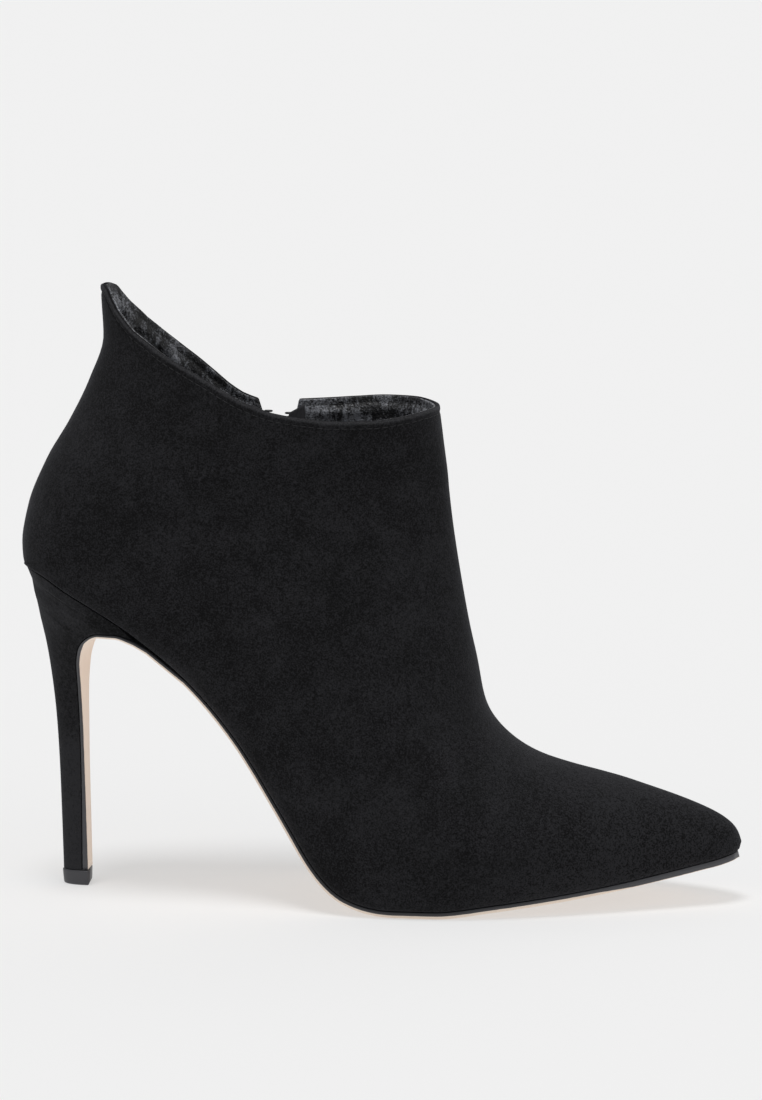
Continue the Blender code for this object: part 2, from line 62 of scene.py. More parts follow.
# The last: a fan of sections, upright at the toe and lying back in the shaft.
# x0,z0 feather line; x1,z1 ridge; half widths of the sole and of the widest line,
# outer and inner side; height share of the widest line; roundness below and above.
LAST = np.array([
    (111.8, 18.4, 111.8, 18.4, 0.0, 0.0, 0.0, 0.0, 0.45, 2.0, 2.0),
    (111.0, 15.9, 110.8, 21.8, 0.0, 0.0, 3.0, 3.0, 0.42, 2.0, 2.0),
    (109.4, 15.5, 108.6, 24.4, 3.4, 3.4, 5.6, 5.6, 0.40, 2.2, 2.0),
    (105.5, 14.6, 104.5, 27.2, 7.2, 7.2, 9.0, 9.0, 0.36, 2.6, 2.0),
    (98.0, 13.2, 97.0, 30.4, 11.0, 11.0, 13.0, 13.0, 0.34, 3.0, 2.0),
    (87.0, 11.1, 87.0, 33.8, 15.8, 16.0, 18.0, 18.2, 0.33, 3.0, 2.0),
    (73.0, 8.6, 74.5, 37.3, 21.6, 22.2, 24.2, 24.8, 0.33, 3.0, 2.0),
    (57.0, 6.3, 61.5, 40.6, 27.6, 28.8, 30.6, 31.8, 0.33, 3.0, 2.0),
    (39.0, 4.2, 49.6, 43.3, 33.2, 34.0, 36.4, 37.2, 0.34, 3.0, 2.0),
    (20.0, 2.3, 41.2, 48.4, 36.6, 35.6, 39.6, 39.2, 0.35, 3.0, 2.0),
    (4.0, 2.3, 36.0, 54.0, 36.6, 32.8, 40.0, 37.8, 0.36, 3.0, 1.95),
    (-12.9, 9.6, 33.0, 60.2, 33.8, 28.2, 38.4, 35.0, 0.37, 3.0, 1.9),
    (-26.2, 28.4, 30.8, 67.8, 29.2, 23.2, 35.6, 32.6, 0.38, 2.8, 1.9),
    (-41.0, 50.7, 28.7, 78.2, 24.4, 20.6, 32.6, 31.0, 0.39, 2.5, 1.9),
    (-57.5, 69.2, 26.2, 91.2, 21.8, 20.8, 30.4, 30.0, 0.38, 2.2, 1.95),
    (-74.5, 83.2, 24.0, 104.0, 22.6, 22.4, 29.4, 29.2, 0.36, 1.95, 2.0),
    (-92.0, 94.5, 22.4, 114.5, 23.6, 23.6, 28.8, 28.7, 0.35, 1.8, 2.05),
    (-103.3, 100.8, 21.6, 121.0, 18.6, 18.6, 28.4, 28.4, 0.35, 1.87, 2.1),
    (-108.7, 102.4, 21.1, 125.5, 10.6, 10.6, 28.1, 28.1, 0.36, 2.35, 2.15),
    (-110.0, 102.8, 20.9, 127.4, 6.0, 6.0, 28.0, 28.0, 0.37, 2.5, 2.15),
    (-110.5, 103.2, 20.8, 129.2, 0.0, 0.0, 27.9, 27.9, 0.38, 3.15, 2.15),
    (-111.1, 110.0, 20.4, 133.0, 0.0, 0.0, 27.6, 27.6, 0.41, 3.0, 2.2),
    (-109.2, 121.2, 19.8, 137.2, 0.0, 0.0, 27.3, 27.3, 0.45, 2.75, 2.2),
    (-103.7, 134.7, 19.2, 141.7, 0.0, 0.0, 27.0, 27.0, 0.49, 2.4, 2.2),
    (-96.5, 146.8, 18.7, 145.7, 0.0, 0.0, 26.8, 26.8, 0.53, 2.1, 2.2),
    (-90.2, 159.6, 18.2, 149.2, 0.0, 0.0, 26.6, 26.6, 0.56, 1.95, 2.2),
    (-85.8, 173.0, 17.8, 152.7, 0.0, 0.0, 26.4, 26.4, 0.59, 1.9, 2.2),
    (-86.4, 186.0, 17.3, 156.7, 0.0, 0.0, 26.2, 26.2, 0.61, 1.9, 2.2),
    (-86.7, 204.0, 16.8, 162.2, 0.0, 0.0, 26.2, 26.2, 0.61, 1.9, 2.2)])

# height of the collar along the shoe: x, outer side, inner side
COLLAR = np.array([
    (-88.5, 185.6, 185.6), (-87.2, 187.6, 187.6), (-86.0, 188.7, 188.7),
    (-84.6, 187.8, 188.3), (-82.5, 184.4, 185.6), (-80.5, 181.3, 182.9),
    (-78.0, 178.5, 180.3), (-75.0, 175.5, 177.0), (-70.0, 172.3, 172.6),
    (-65.0, 169.1, 168.4), (-60.0, 166.5, 164.3), (-55.0, 163.9, 159.8),
    (-50.0, 161.3, 155.3), (-45.0, 158.5, 152.2), (-40.0, 155.7, 150.8),
    (-30.0, 152.2, 150.8), (-20.0, 150.5, 151.3), (-10.0, 149.6, 152.1),
    (0.0, 149.6, 152.9), (10.0, 150.7, 153.1), (18.0, 152.2, 152.4),
    (26.0, 152.6, 152.6)])

# breast of the heel and its flap, from the waist down: outer face x and z,
# half width, thickness of the flap, the back point of the heel's section and how
# square the section is
BREAST = np.array([
    (-70.0, 77.1, 22.4, 1.30, -110.3, 101.8, 2.8),
    (-75.0, 79.8, 22.4, 1.25, -109.8, 100.2, 2.8),
    (-80.0, 81.3, 21.8, 1.20, -108.9, 97.6, 2.8),
    (-85.0, 81.2, 19.9, 1.15, -108.1, 94.6, 2.6),
    (-89.2, 79.2, 16.6, 1.10, -107.3, 90.9, 2.4),
    (-91.8, 75.4, 13.0, 1.05, -106.6, 86.0, 2.2),
    (-92.8, 70.0, 9.8, 1.00, -105.0, 78.0, 2.1),
    (-92.9, 63.0, 7.2, 1.00, -103.5, 68.0, 2.0),
    (-92.7, 52.0, 5.6, 1.00, -102.1, 55.0, 2.0),
    (-92.5, 38.0, 4.8, 1.05, -101.2, 39.0, 2.0),
    (-92.2, 22.0, 4.4, 1.35, -100.7, 22.0, 2.0),
    (-91.9, 5.0, 4.2, 1.75, -100.3, 5.0, 2.0)])
BREAST_START = 14.6    # row of LAST where the sole leaves the feather line
BALL = (9.0, 9.6, 12.6, 13.4)      # rows of LAST between which the ball is rounded off
BALL_REACH = 0.3       # rows taken together there, each way
BALL_DIP = 0.75        # lowest spot of the ball below the table's line
BALL_AT = 10.75        # its row
BALL_HALF = 0.36       # its half width in rows
GAP = 0.3              # between pieces that touch
LOWER_EDGE = 20.0      # a border this far below the collar is a sheet's lower edge
LOWER_OUTSIDE = 0.25   # how far that edge stands out for half a thickness, outside
LOWER_INSIDE = 1.9     # and inside, where it closes the joint over the sole


class Body(Enum):
    """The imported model's bodies."""

    SHOE = "shoe"
    PULL = "zip_pull"


class Side(Enum):
    """Side of the zip, named by what lies beyond it."""

    BACK = -1
    FRONT = 1


# Curves


def blend_rows(table: Array, at: Union[float, Array]) -> Array:
    """Rows of a table at fractional row numbers, smooth and without overshoot.

    Args:
        table: the rows.
        at: row numbers.

    Returns:
        One row for each number.
    """
    table = np.asarray(table, float)
    last = len(table) - 1
    at = np.clip(np.atleast_1d(np.asarray(at, float)), 0, last)
    k = np.minimum(at.astype(int), last - 1)
    f = (at - k)[:, None]
    step = np.diff(table, axis=0)
    slope = np.zeros_like(table)
    same = step[1:] * step[:-1] > 0
    total = np.where(same, step[1:] + step[:-1], 1.0)
    slope[1:-1] = np.where(same, 2 * step[1:] * step[:-1] / total, 0.0)
    slope[0] = step[0]
    slope[-1] = step[-1]
    return ((2 * f**3 - 3 * f**2 + 1) * table[k] + (f**3 - 2 * f**2 + f) * slope[k]
            + (3 * f**2 - 2 * f**3) * table[k + 1] + (f**3 - f**2) * slope[k + 1])


def spline_rows(table: Array, at: Union[float, Array]) -> Array:
    """Rows of a table at fractional row numbers, smoothed as a cubic B-spline.

    Args:
        table: the rows.
        at: row numbers.

    Returns:
        One row for each number.
    """
    table = np.vstack([2 * table[0] - table[1], table, 2 * table[-1] - table[-2]])
    at = np.clip(np.atleast_1d(np.asarray(at, float)), 0, len(table) - 3)
    k = np.minimum(at.astype(int), len(table) - 4)
    f = (at - k)[:, None]
    return ((1 - f)**3 * table[k] + (3 * f**3 - 6 * f**2 + 4) * table[k + 1]
            + (3 * f + 3 * f**2 - 3 * f**3 + 1) * table[k + 2] + f**3 * table[k + 3]) / 6


def blend_x(table: Array, x: Union[float, Array]) -> Array:
    """Rows of a table at values of its first column."""
    return blend_rows(table, np.interp(x, table[:, 0], np.arange(len(table))))


def last_rows(at: Union[float, Array]) -> Array:
    """Rows of the last, with the ball of the foot rounded off.

    Args:
        at: fractional row numbers.

    Returns:
        One row for each number.
    """
    at = np.atleast_1d(np.asarray(at, float))
    rows = blend_rows(LAST, at)
    steps = np.linspace(-BALL_REACH, BALL_REACH, 7)
    soft = sum(blend_rows(LAST, at + d) for d in steps) / len(steps)
    share = smooth_step(at, *BALL[:2]) * (1 - smooth_step(at, *BALL[2:]))
    rows += (soft - rows) * share[:, None]
    rows[:, 1] -= BALL_DIP * bell(at, BALL_AT, BALL_HALF)
    return rows


def breast_rows(at: Array) -> tuple[Array, Array]:
    """Rows of the heel's breast and the directions from its face into the heel, x and z."""
    rows = blend_rows(BREAST, at)
    run = unit(np.gradient(rows[:, :2], axis=0))
    return rows, np.stack([run[:, 1], -run[:, 0]], 1)


def running(line: Array) -> Array:
    """Length along a polyline up to each of its points."""
    return np.concatenate([[0], np.cumsum(np.linalg.norm(np.diff(line, axis=0), axis=1))])


def even_line(line: Array, count: int) -> Array:
    """Points spaced evenly by length along a polyline.

    Args:
        line: the polyline's points.
        count: number of points wanted.

    Returns:
        The points, with the same two ends.
    """
    line = np.asarray(line, float)
    run = running(line)
    want = np.linspace(0, run[-1], count)
    return np.stack([np.interp(want, run, line[:, c]) for c in range(line.shape[1])], 1)


def smooth_step(value: Array, low: float, high: float) -> Array:
    """0 below low, 1 above high and a soft rise between them."""
    f = np.clip((value - low) / (high - low), 0, 1)
    return f * f * (3 - 2 * f)


def bell(value: Array, centre: float, half: float) -> Array:
    """1 at the centre, falling off softly within about two half widths."""
    return np.exp(-((value - centre) / half)**2)


def lumps(points: Array, wide: float, tall: float) -> Array:
    """Smooth random heights at points, in lumps of about these sizes in mm."""
    return np.array([noise.noise(Vector((x / wide, y / wide, z / tall))) for x, y, z in points])


def unit(vectors: Array) -> Array:
    """Vectors at length 1."""
    size = np.linalg.norm(vectors, axis=-1, keepdims=True)
    return vectors / np.where(size > 1e-12, size, 1.0)


# Meshes


def triangles(faces: Sequence[Sequence[int]]) -> Array:
    """Faces as a fan of triangles each."""
    return np.array([(f[0], f[k], f[k + 1]) for f in faces for k in range(1, len(f) - 1)])


def point_normals(points: Array, faces: Sequence[Sequence[int]]) -> Array:
    """Normals at the points, weighted by the area of the faces round them.

    Args:
        points: the mesh's points.
        faces: its faces.

    Returns:
        One unit vector for each point.
    """
    tri = triangles(faces)
    a, b, c = points[tri[:, 0]], points[tri[:, 1]], points[tri[:, 2]]
    area = np.cross(b - a, c - a)
    total = np.zeros_like(points)
    for k in range(3):
        np.add.at(total, tri[:, k], area)
    return unit(total)


def linked(name: str, data: bpy.types.ID) -> Object:
    """A new object in the scene."""
    obj = bpy.data.objects.new(name, data)
    bpy.context.scene.collection.objects.link(obj)
    return obj


def evaluated(obj: Object) -> bpy.types.Mesh:
    """A plain mesh of an object as its modifiers leave it."""
    graph = bpy.context.evaluated_depsgraph_get()
    return bpy.data.meshes.new_from_object(obj.evaluated_get(graph))


def make_object(name: str, points: Array, faces: Sequence[Sequence[int]],
                finishes: Sequence[Material], marks: Optional[dict[str, Array]] = None,
                smooth: bool = True) -> Object:
    """An object from points in millimetres.

    Args:
        name: name of the piece.
        points: its points.
        faces: its faces, turned outwards.
        finishes: its materials.
        marks: numbers kept at each point for the materials.
        smooth: smooth shading.

    Returns:
        The linked object.
    """
    mesh = bpy.data.meshes.new(name)
    mesh.from_pydata((np.asarray(points) * MM).tolist(), [], [list(map(int, f)) for f in faces])
    for key, values in (marks or {}).items():
        layer = mesh.attributes.new(key, "FLOAT", "POINT")
        layer.data.foreach_set("value", np.asarray(values, np.float32))
    for finish in finishes:
        mesh.materials.append(finish)
    if smooth:
        mesh.shade_smooth()
    mesh.update()
    return linked(name, mesh)


def ring_faces(rings: int, count: int, closed: bool = True) -> list[tuple]:
    """Quads between rings of points that follow each other.

    Args:
        rings: number of rings.
        count: points of a ring.
        closed: the rings close on themselves.

    Returns:
        The faces.
    """
    faces = []
    for i in range(rings - 1):
        for j in range(count if closed else count - 1):
            k = (j + 1) % count
            a, b = i * count, (i + 1) * count
            faces.append((a + j, a + k, b + k, b + j))
    return faces


def outwards(points: Array, faces: list[tuple]) -> list[tuple]:
    """The faces of a closed mesh, all reversed if they point inwards."""
    tri = triangles(faces)
    a, b, c = points[tri[:, 0]], points[tri[:, 1]], points[tri[:, 2]]
    volume = np.einsum("ij,ij->i", a, np.cross(b, c)).sum()
    return faces if volume > 0 else [tuple(reversed(f)) for f in faces]


def loft(rings: Sequence[Sequence[Array]]) -> Mesh:
    """A closed mesh through rings of points, with one face over each end."""
    points = np.concatenate(rings)
    count = len(rings[0])
    faces = ring_faces(len(rings), count)
    faces += [tuple(range(count))[::-1], tuple(range(len(points) - count, len(points)))]
    return points, outwards(points, faces)


def rounded(obj: Object, width: float, steps: int = 3, angle: float = 35) -> Object:
    """Round the sharp edges of a piece, for good, and shade it smoothly.

    Args:
        obj: the piece.
        width: width of the rounding in mm.
        steps: its facets.
        angle: edges sharper than this many degrees are rounded.

    Returns:
        The piece as a plain mesh.
    """
    mod = obj.modifiers.new("rounding", "BEVEL")
    mod.width = width * MM
    mod.segments = steps
    mod.limit_method = "ANGLE"
    mod.angle_limit = math.radians(angle)
    old = obj.data
    obj.data = evaluated(obj)
    obj.modifiers.clear()
    bpy.data.meshes.remove(old)
    obj.data.shade_smooth()
    return obj


def joined(parts: Sequence[Mesh]) -> Mesh:
    """Several closed meshes as one list of points and faces."""
    points, faces, start = [], [], 0
    for some, own in parts:
        points.append(some)
        faces += [tuple(i + start for i in f) for f in own]
        start += len(some)
    return np.concatenate(points), faces


def finish_piece(obj: Object, body: Body, slot: str, *nodes: str) -> Object:
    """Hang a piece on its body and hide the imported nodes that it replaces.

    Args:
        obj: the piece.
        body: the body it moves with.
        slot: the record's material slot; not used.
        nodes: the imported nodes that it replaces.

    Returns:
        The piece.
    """
    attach(obj, body.value)
    if nodes:
        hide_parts(*nodes)
    LOG.info("%s: %d faces", obj.name, len(obj.data.polygons))
    return obj


# Shader maths


class Term:
    """A number worked out by a material's nodes, written as in plain Python."""

    def __init__(self, paint: "Paint", socket: Socket) -> None:
        """Wrap a socket of a material."""
        self.paint = paint
        self.socket = socket

    def _math(self, operation: str, *values: "Value") -> "Term":
        """One Math node on this number and others."""
        made = self.paint.node("ShaderNodeMath", {"operation": operation}, dict(enumerate(values)))
        return Term(self.paint, made.outputs[0])

    def __add__(self, other: "Value") -> "Term":
        """self + other."""
        return self._math("ADD", self, other)

    def __radd__(self, other: float) -> "Term":
        """other + self."""
        return self._math("ADD", other, self)

    def __sub__(self, other: "Value") -> "Term":
        """self - other."""
        return self._math("SUBTRACT", self, other)

    def __rsub__(self, other: float) -> "Term":
        """other - self."""
        return self._math("SUBTRACT", other, self)

    def __mul__(self, other: "Value") -> "Term":
        """self * other."""
        return self._math("MULTIPLY", self, other)

    def __rmul__(self, other: float) -> "Term":
        """other * self."""
        return self._math("MULTIPLY", other, self)

    def sine(self) -> "Term":
        """Sine of the number."""
        return self._math("SINE", self)

    def rise(self, low: float, high: float) -> "Term":
        """Soft step from 0 at low to 1 at high."""
        made = self.paint.node("ShaderNodeMapRange", {"interpolation_type": "SMOOTHSTEP"},
                               {0: self, 1: low, 2: high, 3: 0.0, 4: 1.0})
        return Term(self.paint, made.outputs[0])


Value = Union[Term, float]


class Paint:
    """A material whose nodes are written as expressions."""

    def __init__(self, name: str) -> None:
        """A new material with one Principled shader."""
        self.material = bpy.data.materials.new(name)
        self.material.use_nodes = True
        self.tree = self.material.node_tree
        self.shader = self.tree.nodes["Principled BSDF"]
        self.place = self.node("ShaderNodeTexCoord", {}, {}).outputs["Object"]

    def node(self, kind: str, settings: dict[str, object],
             values: dict[Union[int, str], object]) -> bpy.types.Node:
        """A node with its settings, then the values or links of its sockets.

        Args:
            kind: the node's type.
            settings: its properties.
            values: numbers, colours, Terms or sockets by input.

        Returns:
            The node.
        """
        made = self.tree.nodes.new(kind)
        for key, value in settings.items():
            setattr(made, key, value)
        for key, value in values.items():
            self.feed(made.inputs[key], value)
        return made

    def feed(self, socket: Socket, value: object) -> None:
        """Give a socket its number, colour, Term or link."""
        if isinstance(value, Term):
            value = value.socket
        if isinstance(value, Socket):
            self.tree.links.new(value, socket)
        else:
            socket.default_value = value

    def noise(self, size: float, detail: float = 2.0, rough: float = 0.5,
              stretch: Colour = (1.0, 1.0, 1.0), warp: float = 0.0) -> Term:
        """Soft random pattern whose lumps are about size mm.

        Args:
            size: size of a lump in mm.
            detail: octaves.
            rough: share of the finer octaves.
            stretch: longer along an axis where above 1.
            warp: distortion.

        Returns:
            The pattern, about 0.5 on average.
        """
        scaled = self.node("ShaderNodeMapping", {"vector_type": "POINT"},
                           {0: self.place, 3: tuple(1 / s for s in stretch)})
        made = self.node("ShaderNodeTexNoise", {"noise_dimensions": "3D"},
                         {"Vector": scaled.outputs[0], "Scale": 1 / (size * MM),
                          "Detail": detail, "Roughness": rough, "Distortion": warp})
        return Term(self, made.outputs[0])

    def cells(self, size: float) -> Term:
        """Distance to the nearest of random points about size mm apart."""
        made = self.node("ShaderNodeTexVoronoi", {"feature": "F1"},
                         {"Vector": self.place, "Scale": 1 / (size * MM)})
        return Term(self, made.outputs["Distance"])

    def mark(self, name: str) -> Term:
        """A number kept at the mesh's points."""
        return Term(self, self.node("ShaderNodeAttribute", {"attribute_name": name}, {}).outputs[2])

    def axis(self, which: int) -> Term:
        """X, Y or Z of the surface in mm."""
        split = self.node("ShaderNodeSeparateXYZ", {}, {0: self.place})
        return Term(self, split.outputs[which]) * (1 / MM)

    def mix(self, share: Value, first: object, second: object) -> Socket:
        """A colour between two others.

        Args:
            share: 0 gives the first and 1 the second.
            first: colour or socket.
            second: colour or socket.

        Returns:
            The colour's socket.
        """
        first, second = [(*c, 1.0) if isinstance(c, tuple) else c for c in (first, second)]
        made = self.node("ShaderNodeMix", {"data_type": "RGBA", "clamp_factor": True},
                         {0: share, 6: first, 7: second})
        return made.outputs[2]

    def relief(self, height: Term, depth: float, strength: float = 1.0) -> Socket:
        """Bumps of a height from 0 to 1 that stand depth mm high."""
        made = self.node("ShaderNodeBump", {}, {"Height": height, "Distance": depth * MM,
                                                "Strength": strength})
        return made.outputs[0]

    def set(self, **inputs: object) -> Material:
        """Fill the shader's sockets, named with underscores, and return the material."""
        for key, value in inputs.items():
            colour = isinstance(value, tuple) and len(value) == 3
            self.feed(self.shader.inputs[key.replace("_", " ")], (*value, 1.0) if colour else value)
        return self.material


# Finishes


@dataclass(frozen=True)
class Suede:
    """Black suede with a short brushed nap, with a painted highlight along its folded edges, where the
    loose nap catches the light, and painted light towards the toe.
    """

    deep: Colour = (0.0012, 0.0012, 0.0015)
    raised: Colour = (0.0178, 0.0178, 0.0200)
    # painted highlight: the paler colour along the folded edges, where the loose nap catches the light
    edge_glint: Colour = (0.052, 0.052, 0.056)
    fibre: float = 0.48        # size of the nap's tufts, mm
    tuft: float = 1.2
    brushed: float = 11.0      # size of the brushed patches, mm
    nap_depth: float = 0.22
    fuzz: float = 0.05         # sheen of the loose fibres
    rim_band: float = 1.5      # width of the paler painted highlight band along the collar, mm
    speck: float = 2.6         # contrast of the fine nap
    bright: float = 0.38       # how much of the nap is raised, on average
    heel: float = 0.0          # how much paler the foot of the heel is than its top

    def paint(self, name: str, edges: bool) -> Material:
        """Build the material.

        Args:
            name: its name.
            edges: the piece carries the distance to its folded edges.

        Returns:
            The material.
        """
        p = Paint(name)
        nap = p.noise(self.fibre, 1.5, 0.6)
        tuft = p.noise(self.tuft, 2.0, 0.6, warp=0.4)
        patch = p.noise(self.brushed, 3.0, 0.55, warp=0.6)
        sweep = p.noise(26.0, 2.0, 0.5, stretch=(1.6, 1.0, 0.7))
        # painted light: towards the toe the nap's specks grow stronger and the colour lighter, as on a
        # toe that faces the light
        front = p.axis(0).rise(30.0, 85.0)
        tone = (nap - 0.5) * (front * 1.8 + self.speck) + (tuft - 0.5) * (front * 0.9 + 1.2)
        tone = tone + (patch - 0.5) * 1.1 + (sweep - 0.5) * 0.7
        share = tone + p.axis(0).rise(0.0, 90.0) * 0.22 - p.axis(2).rise(150.0, 185.0) * 0.25
        share = share + self.bright + (1 - p.axis(2).rise(20.0, 84.0)) * self.heel
        colour = p.mix(share, self.deep, self.raised)
        if edges:
            # painted highlight: a paler band along the folded edges, for the loose nap that catches the
            # light
            band = 1 - p.mark("edge").rise(0.3, self.rim_band)
            colour = p.mix(band * (nap * 1.3 - 0.05), colour, self.edge_glint)
        height = nap * 0.65 + tuft * 0.35
        return p.set(Base_Color=colour, Roughness=0.92 + (patch - 0.5) * 0.12,
                     Sheen_Weight=self.fuzz, Sheen_Roughness=0.45, Sheen_Tint=(0.86, 0.88, 1.0),
                     Specular_IOR_Level=0.18, Normal=p.relief(height, self.nap_depth, 0.8))


@dataclass(frozen=True)
class LiningLeather:
    """Thin black coated lining, shiny and finely creased, with painted highlights: pale blotches in its
    colour.
    """

    base: Colour = (0.005, 0.005, 0.006)
    # colour of the painted highlights
    pale: Colour = (0.26, 0.27, 0.30)
    pore: float = 0.6
    wrinkle: float = 3.0

    def paint(self, name: str) -> Material:
        """Build the material.

        Args:
            name: its name.

        Returns:
            The material.
        """
        p = Paint(name)
        pores = p.cells(self.pore)
        fold = p.noise(self.wrinkle, 4.0, 0.62, stretch=(1.0, 1.0, 2.2), warp=0.8)
        soft = p.noise(14.0, 2.0, 0.5)
        speck = p.noise(self.pore, 2.0, 0.7)
        # painted highlights: pale blotches in the colour, where the creased shiny lining would catch the
        # light
        glint = (fold * 1.3 + soft * 1.0 + speck * 1.1 - 1.1).rise(0.40, 0.95)
        colour = p.mix(glint, self.base, self.pale)
        height = pores * 0.12 + speck * 0.2 + fold * 0.9
        return p.set(Base_Color=colour, Roughness=0.42 - glint * 0.2,
                     Specular_IOR_Level=0.5, Coat_Weight=glint * 0.5, Coat_Roughness=0.25,
                     Normal=p.relief(height, 1.1, 0.9))


@dataclass(frozen=True)
class SoleLeather:
    """Pale smooth sole leather with a dark painted edge."""

    pale: Colour = (0.95, 0.83, 0.72)
    warm: Colour = (0.90, 0.72, 0.58)
    painted: Colour = (0.020, 0.020, 0.023)
    # lighter grey of the edge paint: its own streaks, and a painted highlight on the glossy edge towards
    # the toe and down the heel's stem
    streaked_lit_edge: Colour = (0.072, 0.072, 0.080)
    bare: float = 0.52         # height share down the edge where the paint stops

    def paint(self, name: str) -> Material:
        """Build the material.

        Args:
            name: its name.

        Returns:
            The material.
        """
        p = Paint(name)
        grain = p.noise(0.5, 3.0, 0.6)
        cloud = p.noise(18.0, 3.0, 0.5, stretch=(2.0, 1.0, 1.0))
        leather = p.mix(cloud * 0.7 + grain * 0.25 - 0.1, self.pale, self.warm)
        toe = p.axis(0).rise(20.0, 95.0)
        streak = p.noise(2.2, 3.0, 0.6, stretch=(6.0, 6.0, 0.5))
        stem = 1 - p.axis(0).rise(-91.6, -88.0)
        # the edge paint is lighter in streaks of its own uneven tone, and lighter towards the toe and
        # down the stem as a painted highlight on its gloss
        coat = p.mix(streak * 0.4 + toe * 0.6 + stem * 0.4, self.painted, self.streaked_lit_edge)
        wobble = (p.noise(3.0, 2.0, 0.5) - 0.5) * 0.08
        tip = p.axis(0).rise(66.0, 82.0) * 0.3
        bare = (p.mark("down") + wobble - tip - stem * 0.36).rise(self.bare, self.bare + 0.06)
        return p.set(Base_Color=p.mix(bare, coat, leather), Roughness=0.36 + bare * 0.12,
                     Specular_IOR_Level=0.5,
                     Normal=p.relief(grain * 0.6 + streak * 0.4, 0.05, 0.6))


@dataclass(frozen=True)
class Plain:
    """A hard or woven finish with a fine grain."""

    base: Colour
    other: Colour
    rough: float
    metal: float = 0.0
    grain: float = 0.6
    depth: float = 0.03

    def paint(self, name: str) -> Material:
        """Build the material.

        Args:
            name: its name.

        Returns:
            The material.
        """
        p = Paint(name)
        fine = p.noise(self.grain, 3.0, 0.6)
        wide = p.noise(self.grain * 12, 2.0, 0.5)
        return p.set(Base_Color=p.mix(fine * 0.6 + wide * 0.4, self.base, self.other),
                     Roughness=self.rough + (wide - 0.5) * 0.15, Metallic=self.metal,
                     Normal=p.relief(fine, self.depth, 0.7))


@dataclass(frozen=True)
class TapeCloth:
    """Woven zip tape with ribs along it."""

    thread: Colour = (0.020, 0.020, 0.023)
    pale: Colour = (0.075, 0.075, 0.082)
    pitch: float = 0.42        # one rib, mm

    def paint(self, name: str) -> Material:
        """Build the material.

        Args:
            name: its name.

        Returns:
            The material.
        """
        p = Paint(name)
        turn = 2 * math.pi / self.pitch
        warp = (p.mark("across") * turn).sine() * 0.5 + 0.5
        weft = (p.mark("along") * turn * 1.3).sine() * 0.5 + 0.5
        height = warp * 0.6 + weft * 0.4
        return p.set(Base_Color=p.mix(height * 0.8, self.thread, self.pale), Roughness=0.85,
                     Specular_IOR_Level=0.3, Normal=p.relief(height, 0.12, 0.8))


# The shoe's last and the sheets drawn over it


@dataclass
class Last:
    """The shoe's last, from the toe to above the collar."""

    side: int = 72             # facets of a section on each side
    fine: int = 720            # sections worked out
    sections: Array = field(init=False)
    at: Array = field(init=False)

    def __post_init__(self) -> None:
        """Work out the sections once."""
        self.at = np.linspace(0, len(LAST) - 1, self.fine)
        exact = last_rows(self.at)
        soft = spline_rows(LAST, self.at)
        exact[:, 2:4] = soft[:, 2:4]
        exact[:, 6:] = soft[:, 6:]
        self.sections = np.array([self._section(row) for row in exact])

    def _half(self, span: float, sole: float, wide: float, share: float,
              low: float, high: float) -> tuple[Array, Array]:
        """One side of a section, from the sole's edge to the ridge.

        Args:
            span: height of the section.
            sole: half width at the sole.
            wide: half width of the widest line.
            share: height share of that line.
            low: roundness below it.
            high: roundness above it.

        Returns:
            Distances across and up.
        """
        turn = np.linspace(0, np.pi / 2, 400)
        across = np.concatenate([sole + (wide - sole) * np.sin(turn)**(2 / low),
                                 wide * np.cos(turn[1:])**(2 / high)])
        up = np.concatenate([share * span * (1 - np.cos(turn)**(2 / low)),
                             span * (share + (1 - share) * np.sin(turn[1:])**(2 / high))])
        run = running(np.stack([across, up], 1))
        even = np.linspace(0, 1, self.side + 1)
        even = run[-1] * (even - 0.5 * np.sin(2 * np.pi * even) / (2 * np.pi))
        return np.interp(even, run, across), np.interp(even, run, up)

    def _section(self, row: Array) -> Array:
        """Points of a section, from the outer sole edge over the ridge.

        Args:
            row: a row of the last's table.

        Returns:
            Its points in mm.
        """
        x0, z0, x1, z1, so, si, wo, wi, share, low, high = row
        span = np.hypot(x1 - x0, z1 - z0)
        dx, dz = ((x1 - x0) / span, (z1 - z0) / span) if span > 1e-6 else (0.0, 1.0)
        sides = []
        for sign, sole, wide in ((-1, so, wo), (1, si, wi)):
            across, up = self._half(span, sole, wide, share, low, high)
            sides.append(np.stack([x0 + dx * up, sign * across, z0 + dz * up], 1))
        return np.concatenate([sides[0], sides[1][::-1][1:]])

    def rim_row(self, column: int) -> float:
        """Row number where a line from the toe meets the collar."""
        x, z = self.sections[:, column, 0], self.sections[:, column, 2]
        over = z - blend_x(COLLAR, x)[:, 2 if column > self.side else 1]
        k = np.flatnonzero((over > 0) & (self.at > 18))[0]
        return self.at[k - 1] + (self.at[k] - self.at[k - 1]) * over[k - 1] / (over[k - 1] - over[k])

    def feather(self, at: float, lift: float = 0.0,
                inset: float = 0.0) -> tuple[Array, Array, float, float]:
        """The feather line at a row.

        Args:
            at: row number.
            lift: distance above the line in mm.
            inset: distance inside it.

        Returns:
            The centre point, the up direction and the half widths, outer and inner.
        """
        here, ahead, behind = last_rows([at, min(at + 0.05, len(LAST) - 1), max(at - 0.05, 0)])
        run = unit(np.array([behind[0] - ahead[0], behind[1] - ahead[1]]))
        up = np.array([-run[1], run[0]])
        return here[:2] + up * lift, up, max(here[4] - inset, 0.0), max(here[5] - inset, 0.0)


